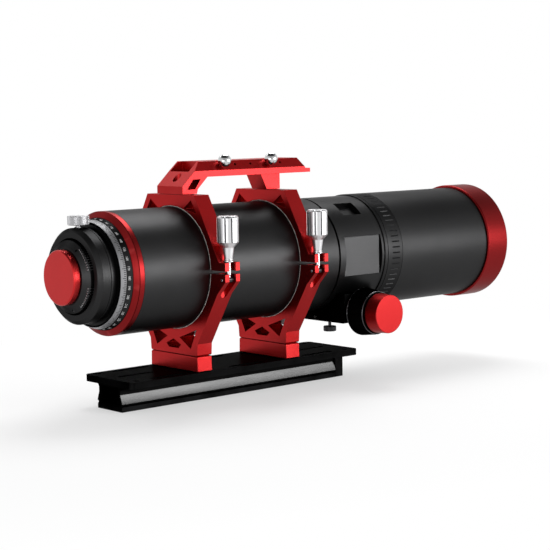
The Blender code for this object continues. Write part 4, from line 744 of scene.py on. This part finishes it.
def build_clamps():
    for word, x in zip(WORDS, RING_X):
        spot = (x, CLAMP_Y, 0.0)
        body = "clamp_" + word
        knob_name, washer_name, stud_name, nut_name = [
            "clamp_" + kind + "_" + word for kind in ("knob", "washer", "stud", "nut")]
        knob = [(KNOB_BORE_TOP, 0.0), (KNOB_BORE_TOP, KNOB_BORE_R), (KNOB_LOW, KNOB_BORE_R),
                (KNOB_LOW, KNOB_FOOT_R), (KNOB_FOOT_TOP, KNOB_FOOT_R), *KNOB_NECK, *KNOB_SHOULDER,
                (KNOB_GRIP_LOW, KNOB_R, 1.0), (KNOB_GRIP_TOP, KNOB_R, 1.0), (KNOB_TOP, KNOB_FACE_R),
                (KNOB_TOP, KNOB_DISH_R), (KNOB_DISH_H, KNOB_DISH_FLOOR_R), (KNOB_DISH_H, 0.0)]
        turned(knob_name + "_grip", knob, "silver_knob", body, knob_name, "silver_knob", "Z", spot, steps=240,
               soft=0.25, groove=lands(*CLAMP_GRIP))
        # Dark groove floors, seen only between the lands: partly oil and partly painted shade.
        turned(knob_name + "_groove_oil_and_shade", tube_wall(*GRIP_FLOOR, GRIP_FLOOR_R[1], GRIP_FLOOR_R[0]),
               "dark_steel", body, (), "silver_knob", "Z", spot, steps=72, soft=0.1)
        turned(washer_name + "_skin", tube_wall(WASHER_LOW, WASHER_TOP, WASHER_R, KNOB_BORE_R, WASHER_EDGE),
               "steel", body, washer_name, "bright_steel", "Z", spot, steps=72, soft=0.1)
        stud = [(STUD_LOW, 0.0), (STUD_LOW, STUD_POINT_R), (STUD_LOW + STUD_POINT_H, STUD_TIP_R),
                (STUD_TIP_TOP, STUD_TIP_R), (STUD_FULL_FROM, STUD_R), (STUD_TOP, STUD_R), (STUD_TOP, 0.0)]
        turned(stud_name + "_skin", stud, "steel", body, stud_name, "bright_steel", "Z", spot, steps=48,
               soft=0.1)
        nut_spot = (x, CLAMP_Y, NUT_H)
        barrel = [(-PIN_HALF, 0.0), (-PIN_HALF, PIN_R), (-NUT_HALF, PIN_R), (-NUT_HALF, NUT_R),
                  (NUT_HALF, NUT_R), (NUT_HALF, PIN_R), (PIN_HALF, PIN_R), (PIN_HALF, 0.0)]
        turned(nut_name + "_barrel", barrel, "dark_steel", body_of(nut_name), nut_name, "dark_steel",
               "X", nut_spot, steps=48, soft=0.2)
        turned(nut_name + "_end", PIN_END, "steel", body_of(nut_name), (), "dark_steel", "X", nut_spot,
               steps=32, soft=0.1)
        build_slot_wall(word, x)


def build_slot_wall(word, x):
    # The fork's slot ends in a flat upright wall with a half-round foot.
    points = [(SLOT_TOP, x - SLOT_HALF_W)]
    for step in range(SLOT_STEPS + 1):
        angle = math.pi * step / SLOT_STEPS
        points.append((SLOT_FOOT_H - SLOT_HALF_W * math.sin(angle), x - SLOT_HALF_W * math.cos(angle)))
    points.append((SLOT_TOP, x + SLOT_HALF_W))
    keep(prism_mesh(points, *SLOT_WALL_Y, "Y"), "ring_slot_wall_" + word, "red_milled", "base", ())


def build_rings():
    for word in WORDS:
        for part in ("ring_upper_", "ring_lower_", "ring_riser_"):
            dressed(part + word, "red_milled", 0.6)
        dressed("ring_hinge_pin_" + word, "steel", 0.3)
        plain_finish("felt", "liner_felt", "ring_liner_upper_" + word, "ring_liner_lower_" + word)
        build_ball(word)
    dressed("handle_bar", "red_milled", 0.7)


EDGE_DROP, EDGE_RUN = 9.8, 7.0
BALL_X = {"rear": -15.2, "front": 50.5}
BALL_SEAT = (-17.01, 248.09)
BALL_R, BALL_NECK_R, BALL_STEM, BALL_GAP = 7.2, 2.4, 7.0, 0.3
BALL_STEPS = 24


def build_ball(word):
    # The ball stands square on the handle's near sloping edge.
    out = Vector((0.0, -EDGE_DROP, EDGE_RUN)).normalized()
    seat = Vector((BALL_X[word], *BALL_SEAT))
    centre = BALL_R + BALL_GAP
    start = math.asin(BALL_NECK_R / BALL_R)
    profile = [(-BALL_STEM, 0.0), (-BALL_STEM, BALL_NECK_R)]
    for step in range(BALL_STEPS):
        angle = start + (math.pi - start) * step / BALL_STEPS
        profile.append((centre - BALL_R * math.cos(angle), BALL_R * math.sin(angle)))
    profile.append((centre + BALL_R, 0.0))
    mesh = turned_mesh(profile, "Z", (0.0, 0.0, 0.0), 64, 0.0)
    mesh.transform(Matrix.Translation(seat) @ out.to_track_quat("Z", "Y").to_matrix().to_4x4())
    keep(mesh, "handle_ball_" + word + "_skin", "chrome", "ring_lid", "handle_ball_" + word,
         sharp=50)


def build_plate():
    mesh = cad_mesh("dovetail_plate")
    mesh.materials.append(LOOKS["black_milled"])
    mesh.materials.append(LOOKS["silver_face"])
    for face in mesh.polygons:
        # The saddle clamps the bar by its bare slanted faces.
        slanted = abs(face.normal.y) > 0.88 and 0.2 < face.normal.z < 0.5
        if slanted and 8 * MM < face.center.z < 18 * MM:
            face.material_index = 1
    keep(mesh, "dovetail_plate_body", None, "base", "dovetail_plate", 1.0, 32, 0.5)
    dressed("dovetail_stop", "black_milled", 0.5)


HEAD_EDGE, SOCKET_SHARE, SOCKET_DEPTH_SHARE, SOCKET_PAST = 0.4, 0.52, 0.6, 2


def socket_screw(name, spot, radius, height, axis, out, body, look="steel"):
    """A cap screw head with a six-sided socket, standing out along the axis."""
    x, y, z = spot
    along = {"X": x, "Y": y, "Z": z}[axis]
    centre = {"X": (0, y, z), "Y": (x, 0, z), "Z": (x, y, 0)}[axis]
    top = along + out * height
    head = [(along, 0.0), (along, radius), (top - out * HEAD_EDGE, radius), (top, radius - HEAD_EDGE),
            (top, 0.0)]
    socket_r = radius * SOCKET_SHARE
    corners = [math.radians(60 * n) for n in range(6)]
    hexagon = [(socket_r * math.cos(angle), socket_r * math.sin(angle)) for angle in corners]
    low, high = sorted((top - out * height * SOCKET_DEPTH_SHARE, top + out * SOCKET_PAST))
    mesh = cut(turned_mesh(head, axis, centre, 48, 0.15), [prism_mesh(hexagon, low, high, axis, centre)])
    keep(mesh, name, look, body, ())


HANDLE_SEAT, HANDLE_SCREW_R, HANDLE_HEAD = 222.8, 4.2, 4.2
RISER_SCREW_Y, RISER_SCREW_H, RISER_SCREW_R, RISER_HEAD = 29.0, 29.6, 2.9, 3.0
BLOCK_SCREW, BLOCK_SCREW_R, BLOCK_HEAD = (121.9, -14.0, 71.2), 1.7, 1.6


def build_screws():
    for word, x in zip(WORDS, RING_X):
        socket_screw("handle_screw_" + word, (x, 0.0, HANDLE_SEAT), HANDLE_SCREW_R, HANDLE_HEAD, "Z", 1,
                     "ring_lid")
        for side, y in (("near", -RISER_SCREW_Y), ("far", RISER_SCREW_Y)):
            socket_screw("riser_screw_" + word + "_" + side, (x, y, RISER_SCREW_H), RISER_SCREW_R, RISER_HEAD,
                         "Z", -1, "base")
    socket_screw("block_screw", BLOCK_SCREW, BLOCK_SCREW_R, BLOCK_HEAD, "X", -1, "base", "silver_face")


def dress_inside():
    plain_finish("inner_black", "inner_black", "rear_lens_cell", "rear_lens_retainer", "tube_baffle_rear",
                 "tube_baffle_front", "objective_cell", "objective_spacer", "objective_retainer",
                 "rotator_retaining_ring")
    plain_finish("glass", "coated_glass", "rear_lens_front", "rear_lens_rear", "objective_lens_rear",
                 "objective_lens_front")
    plain_finish("brass", "brass", "shaft_bush_near", "shaft_bush_far", "focus_rack")
    plain_finish("steel", "bright_steel", "pinion_shaft")


# Camera, lights, world and floor, in metres

CAMERA_SPOT = (-1.0754, -1.3094, 0.2991)
CAMERA_YAW, CAMERA_PITCH, CAMERA_ROLL = 0.8506, -0.1015, -0.0173
CAMERA_LENS, CAMERA_SENSOR = 102.4, 36.0

SOFTBOXES = (
    ("side_box", (0.88, -1.48, 0.3), (1.2, 0.62), 17.5),
    ("back_box", (-0.1, 1.5, 1.5), (1.4, 0.5), 4.4),
    ("top_box", (0.6, 0.45, 1.3), (0.9, 0.7), 17.0),
    ("left_box", (-1.35, -0.7, 0.2), (1.0, 0.4), 4.4),
)
LAMP_AIM = (0.08, 0.0, 0.14)

# The sky that mirrors and the camera see: white at the horizon, dark overhead and dimmer on one side.
SKY_WHITE_TO, SKY_DARK_FROM = 0.6, 0.875
SKY_STEPS = ((0.725, 0.85), (0.79, 0.75), (0.83, 0.36))
SKY_DARK = (0.06, 0.06, 0.062, 1)
DIM_SIDE, DIM_FROM, DIM_TO, DIM_LEVEL = (-0.66, -0.75, 0.0), 0.78, 0.95, 0.5
FILL_COLOUR, FILL_LEVEL = (0.98, 0.99, 1.0, 1), 0.45

FLOOR_HALF, FLOOR_DROP = 30.0, 0.0005
# The floor's own white takes over from its shaded surface away from the object.
GLOW_NEAR, GLOW_FAR = 0.5, 1.0
GLOW_SPAN = (0.08, 0.5)
GLOW_SQUEEZE = (0.6, 1.0, 1.0)


def add_camera():
    data = bpy.data.cameras.new("camera")
    data.sensor_fit = "HORIZONTAL"
    data.sensor_width = CAMERA_SENSOR
    data.lens = CAMERA_LENS
    data.clip_start, data.clip_end = 0.01, 100.0
    level = math.cos(CAMERA_PITCH)
    ahead = Vector((level * math.cos(CAMERA_YAW), level * math.sin(CAMERA_YAW), math.sin(CAMERA_PITCH)))
    right = Vector((math.sin(CAMERA_YAW), -math.cos(CAMERA_YAW), 0.0))
    up = right.cross(ahead)
    side = math.cos(CAMERA_ROLL) * right + math.sin(CAMERA_ROLL) * up
    over = math.cos(CAMERA_ROLL) * up - math.sin(CAMERA_ROLL) * right
    turn = Matrix((side, over, -ahead)).transposed().to_4x4()
    camera = bpy.data.objects.new("camera", data)
    camera.matrix_world = Matrix.Translation(CAMERA_SPOT) @ turn
    bpy.context.scene.collection.objects.link(camera)
    bpy.context.scene.camera = camera


def add_softbox(name, place, size, power):
    data = bpy.data.lights.new(name, "AREA")
    data.shape = "RECTANGLE"
    data.size, data.size_y = size
    data.energy = power
    lamp = bpy.data.objects.new(name, data)
    lamp.location = place
    lamp.rotation_euler = (Vector(LAMP_AIM) - Vector(place)).to_track_quat("-Z", "Y").to_euler()
    lamp.visible_camera = False
    bpy.context.scene.collection.objects.link(lamp)


def seen_share(graph):
    # One for rays from the camera and for what mirrors and glass show, nothing for other light.
    path = graph.node("LightPath").outputs
    share = graph.math("ADD", path["Is Camera Ray"], path["Is Glossy Ray"])
    made = graph.math("ADD", share, path["Is Transmission Ray"])
    made.node.use_clamp = True
    return made


def add_world():
    world = bpy.data.worlds.new("studio")
    bpy.context.scene.world = world
    world.use_nodes = True
    tree = world.node_tree
    tree.nodes.clear()
    graph = Graph(tree)
    sky = graph.node("TexCoord").outputs["Generated"]
    up = graph.node("SeparateXYZ", Vector=sky).outputs["Z"]
    ramp = graph.node("ValToRGB", Fac=graph.span(up, 0.0, 1.0, -1.0, 1.0))
    stops = ramp.color_ramp.elements
    stops[0].position, stops[0].color = SKY_WHITE_TO, (1, 1, 1, 1)
    stops[1].position, stops[1].color = SKY_DARK_FROM, SKY_DARK
    for height, level in SKY_STEPS:
        stops.new(height).color = (level, level, level, 1)
    seen = graph.node("Background", Color=ramp.outputs["Color"])
    toward = graph.vector_math("DOT_PRODUCT", sky, DIM_SIDE)
    graph.feed(seen.inputs["Strength"], graph.span(toward, 1.0, DIM_LEVEL, DIM_FROM, DIM_TO))
    fill = graph.node("Background")
    fill.inputs["Color"].default_value = FILL_COLOUR
    fill.inputs["Strength"].default_value = FILL_LEVEL
    mix = graph.node("MixShader", Fac=seen_share(graph))
    tree.links.new(fill.outputs[0], mix.inputs[1])
    tree.links.new(seen.outputs[0], mix.inputs[2])
    tree.links.new(mix.outputs[0], graph.node("OutputWorld").inputs["Surface"])


def floor_look():
    look = bpy.data.materials.new("pale_floor")
    look.use_nodes = True
    tree = look.node_tree
    graph = Graph(tree)
    shader = tree.nodes["Principled BSDF"]
    shade = graph.blend(graph.noise(3.0, detail=4.0), (0.86, 0.86, 0.86, 1), (0.9, 0.9, 0.9, 1))
    graph.feed(shader.inputs["Base Color"], shade)
    shader.inputs["Roughness"].default_value = 0.9
    shader.inputs["Specular IOR Level"].default_value = 0.1
    glow = graph.node("Emission")
    glow.inputs["Color"].default_value = (1, 1, 1, 1)
    glow.inputs["Strength"].default_value = 1.0
    far_off = graph.vector_math("LENGTH", graph.place(scale=GLOW_SQUEEZE))
    share = graph.span(far_off, GLOW_NEAR, GLOW_FAR, *GLOW_SPAN)
    mix = graph.node("MixShader", Fac=graph.math("MULTIPLY", seen_share(graph), share))
    tree.links.new(shader.outputs[0], mix.inputs[1])
    tree.links.new(glow.outputs[0], mix.inputs[2])
    tree.links.new(mix.outputs[0], tree.nodes["Material Output"].inputs["Surface"])
    return look


def add_floor():
    mesh = bpy.data.meshes.new("floor")
    corners = [(x * FLOOR_HALF, y * FLOOR_HALF, 0) for x, y in ((-1, -1), (1, -1), (1, 1), (-1, 1))]
    mesh.from_pydata(corners, [], [(0, 1, 2, 3)])
    mesh.materials.append(floor_look())
    floor = bpy.data.objects.new("floor", mesh)
    floor.location.z = -FLOOR_DROP
    bpy.context.scene.collection.objects.link(floor)


build_tube()
build_scale()
build_rotator()
build_housing()
build_drive()
build_front()
build_clamps()
build_rings()
build_plate()
build_screws()
dress_inside()
add_camera()
for softbox in SOFTBOXES:
    add_softbox(*softbox)
add_world()
add_floor()
bpy.context.scene.view_settings.view_transform = "Standard"
